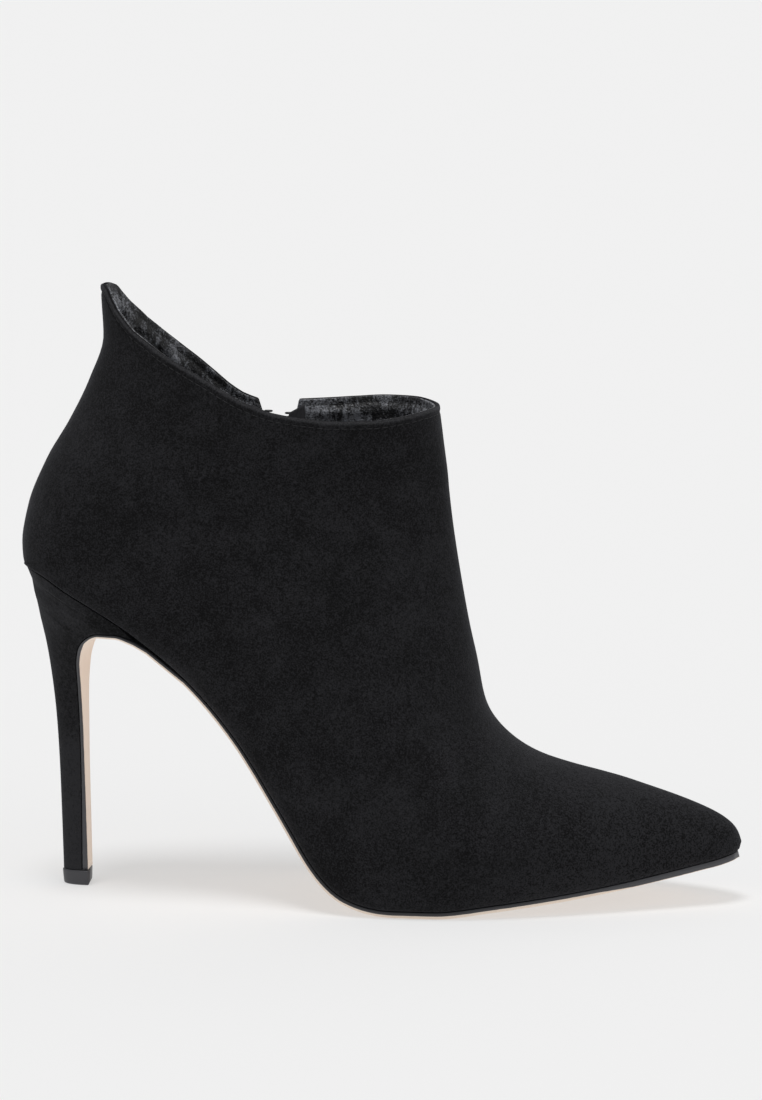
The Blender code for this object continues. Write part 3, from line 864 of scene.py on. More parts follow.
@dataclass(frozen=True)
class Slot:
    """The zip's slot in the inner side."""

    half: float = 4.5
    bottom: float = 66.0       # height where it ends
    end: float = 3.5           # height of its round end
    top: float = 151.0         # height of the collar there
    at: float = -31.2          # x of its centre line at the bottom
    lean: float = 4.0          # how far the line runs back up to the top
    flare: float = 2.0         # widening over the last 10 mm

    def middle(self, z: Union[float, Array]) -> Union[float, Array]:
        """x of the zip's centre line at a height."""
        return self.at - self.lean * (z - self.bottom) / (self.top - self.bottom)

    def width(self, z: Union[float, Array]) -> Union[float, Array]:
        """Half width at a height, flared at the collar."""
        return self.half + self.flare * np.clip((z - self.top + 10.0) / 10.0, 0, 1.3)**1.4

    def outside(self, points: Array) -> Array:
        """Distance from the slot's edge in mm, below 0 inside the slot.

        Args:
            points: points of the shell.

        Returns:
            One distance for each point, large on the outer side.
        """
        x, y, z = points.T
        low = self.bottom + self.end
        across = np.abs(x - self.middle(z))
        down = np.maximum(low - z, 0) * self.half / self.end
        away = np.where(z < low, np.hypot(across, down) - self.half, across - self.width(z))
        return np.where((y > 8) & (z > self.bottom - 14), away, 99.0)


@dataclass
class Skin:
    """An open sheet of points with its faces and what is known at each point."""

    points: Array
    faces: list[tuple]
    marks: dict[str, Array]

    def weld(self) -> "Skin":
        """Merge points in the same place and drop what becomes of no area."""
        keys = np.round(self.points + 0.0, 4) + 0.0
        _, first, back = np.unique(keys, axis=0, return_index=True, return_inverse=True)
        back = back.ravel()
        faces = []
        for face in self.faces:
            ring = [int(back[i]) for i in face]
            ring = [a for k, a in enumerate(ring) if a != ring[k - 1]]
            if len(set(ring)) > 2:
                faces.append(tuple(ring))
        return Skin(self.points[first], faces, {k: v[first] for k, v in self.marks.items()})

    def trim(self, away: Array) -> "Skin":
        """Cut off what lies where away is below 0.

        Args:
            away: distance outside the cut at each point.

        Returns:
            The sheet that is left, cut along the line where away is 0.
        """
        points, marks = list(self.points), {k: list(v) for k, v in self.marks.items()}
        cut: dict[tuple[int, int], int] = {}

        def crossing(a: int, b: int) -> int:
            """The point where an edge meets the cut."""
            key = (min(a, b), max(a, b))
            if key not in cut:
                f = away[key[0]] / (away[key[0]] - away[key[1]])
                points.append(self.points[key[0]] * (1 - f) + self.points[key[1]] * f)
                for name, values in marks.items():
                    values.append(values[key[0]] * (1 - f) + values[key[1]] * f)
                cut[key] = len(points) - 1
            return cut[key]

        faces = []
        for face in self.faces:
            sides = [away[i] > 0 for i in face]
            if all(sides):
                faces.append(face)
            elif any(sides):
                ring = []
                for k, b in enumerate(face):
                    a = face[k - 1]
                    if sides[k - 1] != sides[k]:
                        ring.append(crossing(a, b))
                    if sides[k]:
                        ring.append(b)
                if len(ring) > 2:
                    faces.append(tuple(ring))
        return Skin(np.array(points), faces, {k: np.array(v) for k, v in marks.items()}).compact()

    def compact(self) -> "Skin":
        """Drop the points that no face uses."""
        used = np.unique(np.concatenate([np.array(f) for f in self.faces]))
        where = np.full(len(self.points), -1)
        where[used] = np.arange(len(used))
        faces = [tuple(int(where[i]) for i in f) for f in self.faces]
        return Skin(self.points[used], faces, {k: v[used] for k, v in self.marks.items()})

    def wall(self, lift: Array, depth: Array,
             steps: int = 6) -> tuple[Array, list[tuple], Array, Array]:
        """A solid from the sheet, with half-round edges that stand half its thickness beyond.

        Args:
            lift: height of the outer face above the sheet at each point.
            depth: depth of the inner face below the sheet at each point.
            steps: facets of the edges.

        Returns:
            The points, the faces, the index of the sheet's point that each belongs to, and
            how far each is from the outer face to the inner, 0 to 1.
        """
        normal = point_normals(self.points, self.faces)
        pairs = {(f[k - 1], f[k]) for f in self.faces for k in range(len(f))}
        border = [(a, b) for a, b in pairs if (b, a) not in pairs]
        away = np.zeros_like(self.points)
        for a, b in border:
            side = np.cross(self.points[b] - self.points[a], normal[a] + normal[b])
            away[a] += side
            away[b] += side
        edge = sorted({a for pair in border for a in pair})
        away = unit(away)
        count = len(self.points)
        middle, radius = (lift - depth) / 2, (lift + depth) / 2
        points = [self.points + normal * lift[:, None], self.points - normal * depth[:, None]]
        source = [np.arange(count), np.arange(count)]
        through = [np.zeros(count), np.ones(count)]
        low = self.marks["rim"] > LOWER_EDGE
        rings = {0: {a: a for a in edge}, steps: {a: a + count for a in edge}}
        start = 2 * count
        some = np.array(edge)
        for k in range(1, steps):
            turn = np.pi * k / steps
            share = LOWER_OUTSIDE if 2 * k <= steps else LOWER_INSIDE
            bulge = radius * np.where(low, share, 1.0)
            points.append(self.points[some]
                          + normal[some] * (middle + radius * np.cos(turn))[some, None]
                          + away[some] * (bulge * np.sin(turn))[some, None])
            source.append(some)
            through.append(np.full(len(some), k / steps))
            rings[k] = {a: start + i for i, a in enumerate(edge)}
            start += len(edge)
        faces = list(self.faces) + [tuple(i + count for i in reversed(f)) for f in self.faces]
        for k in range(steps):
            up, down = rings[k], rings[k + 1]
            faces += [(up[b], up[a], down[a], down[b]) for a, b in border]
        return np.concatenate(points), faces, np.concatenate(source), np.concatenate(through)


@dataclass
class Shell:
    """The sheet over the last from the sole's edge to the collar, with its zip slot."""

    last: Last
    rows: int = 190
    near_rim: tuple[float, ...] = (0.35, 0.8, 1.3, 1.8, 2.3, 2.7, 3.1, 3.6, 4.3, 5.4, 7.0)
    toe_boost: float = 6.0     # extra rows round the toe's point
    slot: Slot = field(default_factory=Slot)

    def _track(self, column: int) -> tuple[Array, Array]:
        """Row numbers and lengths from the collar down along a line from the toe."""
        end = self.last.rim_row(column)
        line = self.last.sections[:, column]
        at = np.linspace(0, end, 2400)
        run = running(np.stack([np.interp(at, self.last.at, line[:, c]) for c in range(3)], 1))
        return at, run[-1] - run

    def skin(self, border: float, reach: float = 0.0) -> Skin:
        """The sheet, ending short of the collar and of the slot's edge.

        Args:
            border: distance kept from both.
            reach: further distance kept from the collar.

        Returns:
            The trimmed sheet with marks rim, slot and edge, in mm from the collar, from
            the slot and from the nearer of the two, and around, in mm along the collar.
        """
        step = np.linalg.norm(np.diff(self.last.sections, axis=0), axis=2).mean(1)
        at = self.last.at
        pace = np.concatenate([[0], np.cumsum(step + self.toe_boost * np.exp(-at[1:]) * 0.05)])
        rim = border + reach + np.array((0.0,) + self.near_rim)[::-1]
        count = self.rows + len(rim)
        columns = self.last.sections.shape[1]
        grid = np.zeros((count, columns, 3))
        below, around = np.zeros((2, count, columns))
        around[:] = running(self.rim_line(border))
        for j in range(columns):
            track, left = self._track(j)
            ends = np.interp(rim, left[::-1], track[::-1])
            share = np.linspace(0, np.interp(ends[0], at, pace), self.rows + 1)[:-1]
            rows = np.concatenate([np.interp(share, pace, at), ends])
            below[:, j] = np.interp(rows, track, left)
            for c in range(3):
                grid[:, j, c] = np.interp(rows, at, self.last.sections[:, j, c])
        sheet = Skin(grid.reshape(-1, 3), ring_faces(count, columns, closed=False),
                     {"rim": below.ravel(), "around": around.ravel()}).weld()
        centre = sheet.points.mean(0)
        normal = point_normals(sheet.points, sheet.faces)
        if np.einsum("ij,ij->i", normal, sheet.points - centre).sum() < 0:
            sheet.faces = [tuple(reversed(f)) for f in sheet.faces]
        self._snap(sheet, self.slot.outside(sheet.points), border)
        away = self.slot.outside(sheet.points)
        sheet.marks["slot"] = away
        sheet = sheet.trim(np.where(np.abs(away - border) < 1e-3, 1e-3, away - border))
        sheet.marks["edge"] = np.minimum(sheet.marks["rim"], sheet.marks["slot"])
        return sheet

    def _snap(self, sheet: Skin, away: Array, border: float, near: float = 0.22) -> None:
        """Move the points that lie close to the slot's edge onto it.

        Args:
            sheet: the sheet whose points move.
            away: their distance from the slot.
            border: distance of the edge from the slot.
            near: how close to the edge a point has to be.
        """
        normal = point_normals(sheet.points, sheet.faces)
        for k in np.flatnonzero(np.abs(away - border) < near):
            x, y, z = sheet.points[k]
            low = self.slot.bottom + self.slot.end
            down = min(z - low, 0.0) * self.slot.half / self.slot.end
            way = np.array([x - self.slot.middle(z), 0.0, down])
            way = unit(way) * (border - away[k])
            way[1] = -(normal[k][0] * way[0] + normal[k][2] * way[2]) / normal[k][1]
            sheet.points[k] += way

    def rim_line(self, below: float) -> Array:
        """Points a distance below the collar, from the back over the outer side and round."""
        line = []
        for j in range(self.last.sections.shape[1]):
            track, left = self._track(j)
            row = np.interp(below, left[::-1], track[::-1])
            line.append([np.interp(row, self.last.at, self.last.sections[:, j, c])
                         for c in range(3)])
        return np.array(line)


class Repeat:
    """Places a small piece again and again, along a line or over a surface."""

    def __init__(self) -> None:
        """Build the tree that sets a piece on points that know their two directions."""
        tree = bpy.data.node_groups.new("repeat", "GeometryNodeTree")
        face = tree.interface
        face.new_socket("Points", in_out="INPUT", socket_type="NodeSocketGeometry")
        face.new_socket("Piece", in_out="INPUT", socket_type="NodeSocketObject")
        face.new_socket("Size", in_out="INPUT", socket_type="NodeSocketFloat")
        face.new_socket("Finish", in_out="INPUT", socket_type="NodeSocketMaterial")
        face.new_socket("Result", in_out="OUTPUT", socket_type="NodeSocketGeometry")
        self.tree = tree
        given = self._node("NodeGroupInput")
        info = self._node("GeometryNodeObjectInfo", Object=given.outputs["Piece"])
        turn = self._align("X", "AUTO", "along", None)
        turn = self._align("Z", "X", "out", turn)
        placed = self._node("GeometryNodeInstanceOnPoints", Points=given.outputs["Points"],
                            Instance=info.outputs["Geometry"], Rotation=turn,
                            Scale=given.outputs["Size"])
        real = self._node("GeometryNodeRealizeInstances", Geometry=placed.outputs[0])
        dressed = self._node("GeometryNodeSetMaterial", Geometry=real.outputs[0],
                             Material=given.outputs["Finish"])
        self._node("NodeGroupOutput", Result=dressed.outputs[0])
        self.inputs = {item.name: item.identifier for item in face.items_tree
                       if item.in_out == "INPUT"}

    def _node(self, kind: str, **links: Socket) -> bpy.types.Node:
        """A node with its links."""
        made = self.tree.nodes.new(kind)
        for key, socket in links.items():
            self.tree.links.new(socket, made.inputs[key])
        return made

    def _align(self, axis: str, pivot: str, name: str,
               turn: Optional[Socket]) -> Socket:
        """Turn an axis of the piece to a direction kept at the points.

        Args:
            axis: the piece's axis.
            pivot: the axis that it turns about.
            name: the attribute with the direction.
            turn: an earlier turn, if any.

        Returns:
            The socket of the turn.
        """
        read = self._node("GeometryNodeInputNamedAttribute")
        read.data_type = "FLOAT_VECTOR"
        read.inputs["Name"].default_value = name
        made = self._node("FunctionNodeAlignRotationToVector", Vector=read.outputs[0])
        made.axis, made.pivot_axis = axis, pivot
        if turn is not None:
            self.tree.links.new(turn, made.inputs["Rotation"])
        return made.outputs[0]

    def place(self, name: str, master: Object, points: Array, along: Array,
              out: Array, finish: Material) -> Object:
        """Set the master on points.

        Args:
            name: name of the result.
            master: the small piece, which is used up.
            points: places in mm.
            along: direction of the piece's X at each point.
            out: direction of its Z.
            finish: material of the result.

        Returns:
            One plain mesh object.
        """
        mesh = bpy.data.meshes.new(name + "_points")
        mesh.from_pydata((np.asarray(points) * MM).tolist(), [], [])
        for key, values in (("along", along), ("out", out)):
            layer = mesh.attributes.new(key, "FLOAT_VECTOR", "POINT")
            layer.data.foreach_set("vector", np.asarray(values, np.float32).ravel())
        holder = linked(name + "_points", mesh)
        mod = holder.modifiers.new("repeat", "NODES")
        mod.node_group = self.tree
        mod[self.inputs["Piece"]] = master
        mod[self.inputs["Size"]] = 1.0
        mod[self.inputs["Finish"]] = finish
        result = evaluated(holder)
        for old in (holder, master):
            data = old.data
            bpy.data.objects.remove(old)
            bpy.data.meshes.remove(data)
        result.name = name
        result.shade_smooth()
        return linked(name, result)


def capsule(name: str, length: float, wide: float, high: float) -> Object:
    """A short rounded piece of thread or wire along X.

    Args:
        name: its name.
        length: whole length in mm.
        wide: width.
        high: height.

    Returns:
        The object.
    """
    rings, turn = [], np.linspace(0, 2 * np.pi, 8, endpoint=False)
    for along, size in ((-0.5, 0.35), (-0.36, 0.86), (0.0, 1.0), (0.36, 0.86), (0.5, 0.35)):
        rings.append(np.stack([np.full(len(turn), along * length), np.cos(turn) * wide / 2 * size,
                               np.sin(turn) * high / 2 * size], 1))
    return make_object(name, *loft(rings), [])


# The upper


@dataclass
class Upper:
    """Suede shell, lining and the stitches that hold them."""

    shell: Shell
    suede_thick: float = 1.2
    lining_from: float = 1.25
    lining_to: float = 1.95
    roll: float = 0.14         # puff of the turned edge
    groove: float = 0.24       # depth of the pressed stitch line
    stitch_below: float = 2.4  # stitch line below the edge
    stitch_long: float = 1.9
    stitch_pitch: float = 2.5
    thread: float = 0.34
    seam_depth: float = 0.42   # back seam
    seam_half: float = 0.55
    pad: float = 0.75          # swell of the lining under its stitches
    pucker: float = 0.22
    wrinkle: float = 0.38
    # soft folds: height, side (-1 outer, 1 inner, 0 both), x and z of two ends, half width
    folds: tuple[tuple[float, ...], ...] = (
        (-0.45, 0, 34.0, 60.0, 8.0, 48.0, 7.0), (0.30, 0, 30.0, 74.0, 6.0, 64.0, 7.0),
        (-0.30, -1, -20.0, 100.0, 6.0, 84.0, 9.0), (0.28, -1, -30.0, 118.0, 2.0, 104.0, 9.0),
        (-0.35, -1, -70.0, 120.0, -40.0, 96.0, 8.0), (0.25, -1, -84.0, 128.0, -52.0, 108.0, 8.0),
        (-0.30, 1, -74.0, 118.0, -46.0, 98.0, 8.0), (-0.28, 1, -6.0, 96.0, 12.0, 76.0, 8.0),
        (0.22, 0, 74.0, 34.0, 52.0, 26.0, 6.0), (-0.20, 0, 60.0, 36.0, 38.0, 26.0, 5.0))

    def relief(self, skin: Skin) -> Array:
        """Height of the suede's soft shapes at each point of the sheet.

        Args:
            skin: the sheet.

        Returns:
            Heights in mm, above 0 outwards.
        """
        x, y, z = skin.points.T
        edge = skin.marks["edge"]
        rolled = self.roll * bell(edge, 1.2, 1.1) - self.groove * bell(edge, self.stitch_below, 0.5)
        back = smooth_step(-x, 60, 80) * smooth_step(z, 103.5, 106)
        seam = back * (0.10 * bell(np.abs(y), 1.7, 0.9) - self.seam_depth * bell(y, 0, self.seam_half))
        return rolled + seam + self.creases(x, y, z)

    def swell(self, sheet: Skin) -> Array:
        """How far the lining stands into the shoe: padded, puckered and wrinkled.

        Args:
            sheet: the lining's sheet.

        Returns:
            Heights in mm at its points.
        """
        edge, around = sheet.marks["edge"], sheet.marks["around"]
        pull = np.cos(2 * np.pi * around / self.stitch_pitch) * bell(edge, 3.6, 1.1)
        fold = lumps(sheet.points, 7, 3.2) + 0.6 * lumps(sheet.points, 3.1, 2.1)
        free = smooth_step(edge, 1.6, 4.5) * (1 - smooth_step(edge, 30, 45))
        return (self.pad * bell(edge, 5.2, 2.4) - 0.15 * bell(edge, self.stitch_below, 0.5)
                + self.pucker * pull + self.wrinkle * fold * free)

    def creases(self, x: Array, y: Array, z: Array) -> Array:
        """Soft troughs and ridges pressed into the suede.

        Args:
            x: places along the shoe in mm.
            y: across it.
            z: up.

        Returns:
            Heights in mm.
        """
        total = np.zeros_like(x)
        for depth, side, x0, z0, x1, z1, half in self.folds:
            dx, dz = x1 - x0, z1 - z0
            size = dx * dx + dz * dz
            f = np.clip(((x - x0) * dx + (z - z0) * dz) / size, 0, 1)
            near = np.hypot(x - x0 - f * dx, z - z0 - f * dz)
            where = 1.0 if side == 0 else smooth_step(side * y, 4, 14)
            total += depth * np.exp(-(near / half)**2) * where
        return total

    def build(self, repeat: Repeat, suede: Material, lining: Material,
              thread: Material) -> list[Object]:
        """Make the suede, the lining and their stitches.

        Args:
            repeat: sets small pieces along lines.
            suede: finish of the outside.
            lining: finish of the inside.
            thread: finish of the stitches.

        Returns:
            The pieces.
        """
        half = self.suede_thick / 2
        skin = self.shell.skin(half)
        points, faces, source, through = skin.wall(self.relief(skin),
                                                   np.full(len(skin.points), self.suede_thick))
        # the wall's inner half counts as far from the edge, so that only its outside gets the painted
        # highlight
        edge = skin.marks["edge"][source] + 9 * smooth_step(through, 0.3, 0.6)
        outer = make_object("upper_suede", points, faces, [suede], {"edge": edge})
        finish_piece(outer, Body.SHOE, "suede", "upper")
        near = tuple(np.arange(1, 17) * 0.45) + (8.0, 9.0, 10.0, 11.2, 12.5, 14.0, 16.0, 18.0)
        inside = Shell(Last(side=84, fine=480), rows=96, near_rim=near, slot=self.shell.slot)
        sheet = inside.skin(0.45, 0.1)
        normal = point_normals(sheet.points, sheet.faces)
        sheet.points = sheet.points - normal * self.lining_from
        thick = self.lining_to - self.lining_from + self.swell(sheet)
        points, faces, source, _ = sheet.wall(np.zeros(len(sheet.points)), np.maximum(thick, 0.3))
        back = make_object("lining", points, faces, [lining], {"edge": sheet.marks["edge"][source]})
        finish_piece(back, Body.SHOE, "sock_lining")
        tree = BVHTree.FromPolygons([Vector(p) for p in skin.points], skin.faces)
        lines = self._lines()
        made = [outer, back]
        for name, depth, size in (("collar_stitches", self.groove * 0.95, 0.85),
                                  ("lining_stitches", self.lining_to - 0.1, 1.1)):
            spots = [self._spots(line, tree, depth) for line in lines]
            spots = [np.concatenate([s[k] for s in spots]) for k in range(3)]
            if name == "lining_stitches":
                spots[2] = -spots[2]
            seed = capsule(name, self.stitch_long, self.thread * size, self.thread * size)
            row = repeat.place(name, seed, *spots, thread)
            made.append(finish_piece(row, Body.SHOE, "suede"))
        return made

    def _lines(self) -> list[Array]:
        """The stitch lines: along the collar on both sides of the slot, and round the slot."""
        slot = self.shell.slot
        reach = slot.half + self.stitch_below
        ring = even_line(self.shell.rim_line(self.stitch_below), 1600)
        ring = ring[slot.outside(ring) > self.stitch_below]
        jump = np.flatnonzero(np.linalg.norm(np.diff(ring, axis=0), axis=1) > 3)
        lines = np.split(ring, jump + 1)
        heights = np.linspace(148.0, slot.bottom + slot.end, 60)
        for sign in (-1, 1):
            x = slot.middle(heights) + sign * (slot.width(heights) + self.stitch_below)
            lines.append(np.stack([x, np.full_like(x, 25.0), heights], 1))
        turn = np.linspace(-np.pi / 2, np.pi / 2, 20)[1:-1]
        lines.append(np.stack([slot.middle(slot.bottom) + reach * np.sin(turn),
                               np.full_like(turn, 25.0), slot.bottom + slot.end
                               - (slot.end + self.stitch_below) * np.cos(turn)], 1))
        return lines

    def _spots(self, line: Array, tree: BVHTree, depth: float) -> tuple[Array, Array, Array]:
        """Places of the stitches on a line, with their two directions.

        Args:
            line: the line, near the suede's face.
            tree: the suede's face.
            depth: depth of the stitches below it.

        Returns:
            Places, directions along the line and directions outwards.
        """
        count = max(int(running(line)[-1] / self.stitch_pitch), 2)
        even = even_line(line, 2 * count + 1)[1::2]
        places, outs = [], []
        for p in even:
            hit = tree.find_nearest(Vector(p))
            outs.append(hit[1])
            places.append(hit[0] - hit[1] * depth)
        places = np.array(places)
        along = unit(np.gradient(places, axis=0))
        return places, along, np.array(outs)


# The sole, the heel and the sock


@dataclass
class Outsole:
    """Leather sole from the toe to the heel's breast, in one sheet."""

    last: Last
    thick: float = 2.0
    outset: float = 0.4        # beyond the feather line
    lean: float = 0.4          # rounding of the lower edge
    flat: float = 1.3          # from there to the rows of the tread
    ends: tuple[float, float] = (1.3, 14.0)    # rows of LAST, before the breast's own

    def _section(self, centre: Array, up: Array, outer: float, inner: float, thick: float,
                 bulge: float) -> tuple[Array, Array]:
        """A section of the sheet with its rounded edges.

        Args:
            centre: middle of its top, x and z.
            up: the direction from its bottom to its top.
            outer: half width on the outer side.
            inner: half width on the inner side.
            thick: thickness.
            bulge: how far the middle of the edge stands out.

        Returns:
            Points of the closed section and how far down the edge each is, 1 and more below.
        """
        lean = min(self.lean, thick * 0.45, 0.3 * max(outer, 0.4))
        edge = [(-0.12, 0.0, 0.0), (-0.03, -0.10 * thick, 0.1)]
        edge += [(bulge * math.sin(math.pi * f), -thick * (0.1 + 0.68 * f), 0.1 + 0.68 * f)
                 for f in (0.15, 0.35, 0.55, 0.75)]
        edge += [(lean * (math.cos(a) - 1), lean - thick - lean * math.sin(a),
                  0.80 + 0.14 * a / (np.pi / 2)) for a in np.radians([0, 22, 45, 68, 90])]
        edge += [(-lean - 0.5, -thick, 1.0), (-lean - self.flat, -thick, 1.05)]
        left = [(-max(outer + e, 0.02), h, d) for e, h, d in edge]
        right = [(max(inner + e, 0.02), h, d) for e, h, d in edge][::-1]
        inside = lean + self.flat
        steps = np.linspace(0, 1, 12)[1:-1]
        below = [((inner - inside) * f - (outer - inside) * (1 - f), -thick, 1.1) for f in steps]
        above = [((inner - 0.12) * (1 - f) - (outer - 0.12) * f, 0.0, 0.0) for f in steps]
        ring = np.array(left + below + right + above)
        points = np.stack([centre[0] + up[0] * ring[:, 1], ring[:, 0],
                           centre[1] + up[1] * ring[:, 1]], 1)
        return points, ring[:, 2]

    def build(self, leather: Material) -> Object:
        """Make the sole.

        Args:
            leather: its finish.

        Returns:
            The piece.
        """
        first, final = self.ends
        made = []
        for t in np.concatenate([np.linspace(first, 3.0, 26), np.linspace(3.1, final, 130)]):
            centre, up, outer, inner = self.last.feather(t, -GAP, -self.outset)
            thick = np.interp(t, (9.0, 12.0, final), (self.thick, 1.6, 1.4))
            tip = min(1.0, math.sqrt((t - first + 0.02) / 0.3) + 0.25)
            wide = [max(w, 0.6) * tip for w in (outer, inner)]
            made.append(self._section(centre, up, *wide, thick, 0.06))
        rows, inward = breast_rows(np.arange(0, len(BREAST) - 0.9, 0.1))
        for up, row in zip(inward, rows):
            made.append(self._section(row[:2] + up * row[3], up, row[2], row[2], row[3], 0.03))
        rings, downs = zip(*made)
        obj = make_object("sole", *loft(rings), [leather], {"down": np.concatenate(downs)})
        return finish_piece(obj, Body.SHOE, "sole_leather", "outsole")


@dataclass
class Heel:
    """Suede-covered stiletto with its top lift."""

    last: Last
    half: int = 36             # points of a ring on each side
    lip: float = 0.22          # rounding of the cover's upper edge
    flank: float = 0.33        # how much the sides come in below the seat, per mm
    # rings of the lift: height, x of its back and front, half width
    cap_rows: tuple[tuple[float, float, float, float], ...] = (
        (0.0, -99.7, -92.1, 3.9), (0.12, -99.95, -91.85, 4.15), (0.4, -100.25, -91.65, 4.42),
        (1.6, -100.4, -91.58, 4.55), (4.2, -100.62, -91.52, 4.72), (4.5, -100.55, -91.6, 4.66),
        (4.7, -100.3, -91.85, 4.4))

    def _ring(self, side: Array) -> Array:
        """Closed ring from one side's points, outer side first."""
        return np.concatenate([side * (1, -1, 1), side[1:-1][::-1]])

    def _rings(self) -> list[Array]:
        """Rings from the seat down to the top lift, the outer side's half of each."""
        seat = []
        for t in np.linspace(20.0, BREAST_START + 0.6, 120):
            centre, _, outer, _ = self.last.feather(t, -GAP)
            seat.append((centre[0], outer, centre[1]))
        sides = [even_line(seat, self.half)]
        at = np.concatenate([np.arange(0.9, 4, 0.5), np.arange(4, 11.01, 0.5)])
        share = 1 - np.cos(np.linspace(0, np.pi / 2, 120))
        plan = np.array(seat)
        for number, row, up in zip(at, *breast_rows(at)):
            _, _, wide, thick, x, z, square = row
            front = row[:2] + up * (thick + GAP)
            line = np.stack([x + (front[0] - x) * share,
                             wide * (1 - (1 - share)**square)**(1 / square),
                             z + (front[1] - z) * share], 1)
            along = line[:, 0] + (plan[0, 0] - x) * (1 - share)
            drop = np.interp(along, plan[:, 0], plan[:, 2]) - line[:, 2]
            flank = np.interp(along, plan[:, 0], plan[:, 1]) - self.flank * drop
            near = 1 - smooth_step(number, 1.4, 3.6)
            line[1:, 1] += near * (flank - line[:, 1])[1:]
            sides.append(even_line(line, self.half))
        return sides

    def build(self, suede: Material, hard: Material) -> list[Object]:
        """Make the covered heel and its top lift.

        Args:
            suede: finish of the cover.
            hard: finish of the lift.

        Returns:
            The two pieces.
        """
        coarse = np.array(self._rings())
        flat = coarse.reshape(len(coarse), -1)
        at = np.concatenate([np.linspace(0, 2, 18)[:-1], np.linspace(2, len(coarse) - 1, 110)])
        sides = blend_rows(flat, at).reshape(len(at), self.half, 3)
        rings = [self._ring(s) for s in sides]
        first = rings[0]
        inward = unit((first.mean(0) - first) * (1, 1, 0))
        down = unit(rings[1] - first) * self.lip
        rings[0] = first + down - inward * 0.05
        rings = [first + inward * self.lip, first + down * 0.3 + inward * 0.3 * self.lip] + rings
        points = np.concatenate(rings)
        count = len(first)
        faces = ring_faces(len(rings), count) + self._cap(0, count)
        faces += [tuple(reversed(f)) for f in self._cap(len(points) - count, count)]
        cover = make_object("heel_cover", points, outwards(points, faces), [suede])
        finish_piece(cover, Body.SHOE, "heel_suede", "heel")
        rings = []
        turn = np.linspace(0, np.pi / 2, 25)
        for z, back, front, wide in self.cap_rows:
            side = np.stack([back + (front - back) * (1 - np.cos(turn)),
                             wide * np.sin(turn)**0.9, np.full_like(turn, z)], 1)
            rings.append(self._ring(side))
        lift = make_object("top_lift", *loft(rings), [hard])
        return [cover, finish_piece(lift, Body.SHOE, "top_lift", "heel_cap")]

    def _cap(self, start: int, count: int) -> list[tuple]:
        """Faces that close a ring by strips from side to side."""
        last = self.half - 2
        faces = [(0, 1, count - 1), (last, last + 1, count - last)]
        faces += [(k, k + 1, count - k - 1, count - k) for k in range(1, last)]
        return [tuple(start + i for i in f) for f in faces]


@dataclass
class Sock:
    """Insole with its padded sock."""

    last: Last
    thick: float = 2.0
    inset: float = 0.45        # from the feather line
    short: float = 1.1         # from the back of the heel
    heel_rows: tuple[float, float] = (15.5, 20.0)      # rows of LAST round the heel

    def build(self, leather: Material) -> Object:
        """Make the sock.

        Args:
            leather: its finish.

        Returns:
            The piece.
        """
        rings = []
        turn, end = self.heel_rows
        back = np.linspace(turn - 0.5, end, 200)
        places = last_rows(back)[:, 0]
        side = np.concatenate([[-1.0, -1.0], np.linspace(-1, 1, 21), [1.0, 1.0]])
        height = -0.45 * np.abs(side)**6
        height[[0, -1]] = 0.4 - self.thick
        height[[1, -2]] = -0.9
        for t in np.concatenate([np.linspace(3.1, turn, 120), np.linspace(turn + 0.05, end - 0.15, 60)]):
            tuck = self.inset + 2.8 * max(4 - t, 0)**2
            centre, up, outer, inner = self.last.feather(t, self.thick, tuck)
            if t > turn:
                ahead = centre[0] + self.short * ((t - turn) / (end - turn))**1.5
                level = float(np.interp(-ahead, -places, back))
                centre, up, _, _ = self.last.feather(level, self.thick)
                outer, inner = max(outer, 0.3), max(inner, 0.3)
            lean = np.zeros(len(side))
            lean[[2, -3]] = min(0.35, 0.3 * outer)
            y = side * (np.where(side < 0, outer, inner) - lean)
            low = [(0.85 * inner, -self.thick), (0.0, -self.thick), (-0.85 * outer, -self.thick)]
            flat = np.concatenate([np.stack([y, height], 1), low])
            rings.append(np.stack([centre[0] + up[0] * flat[:, 1], flat[:, 0],
                                   centre[1] + up[1] * flat[:, 1]], 1))
        obj = make_object("sock", *loft(rings), [leather])
        return finish_piece(obj, Body.SHOE, "sock_lining", "insole")


# The zip


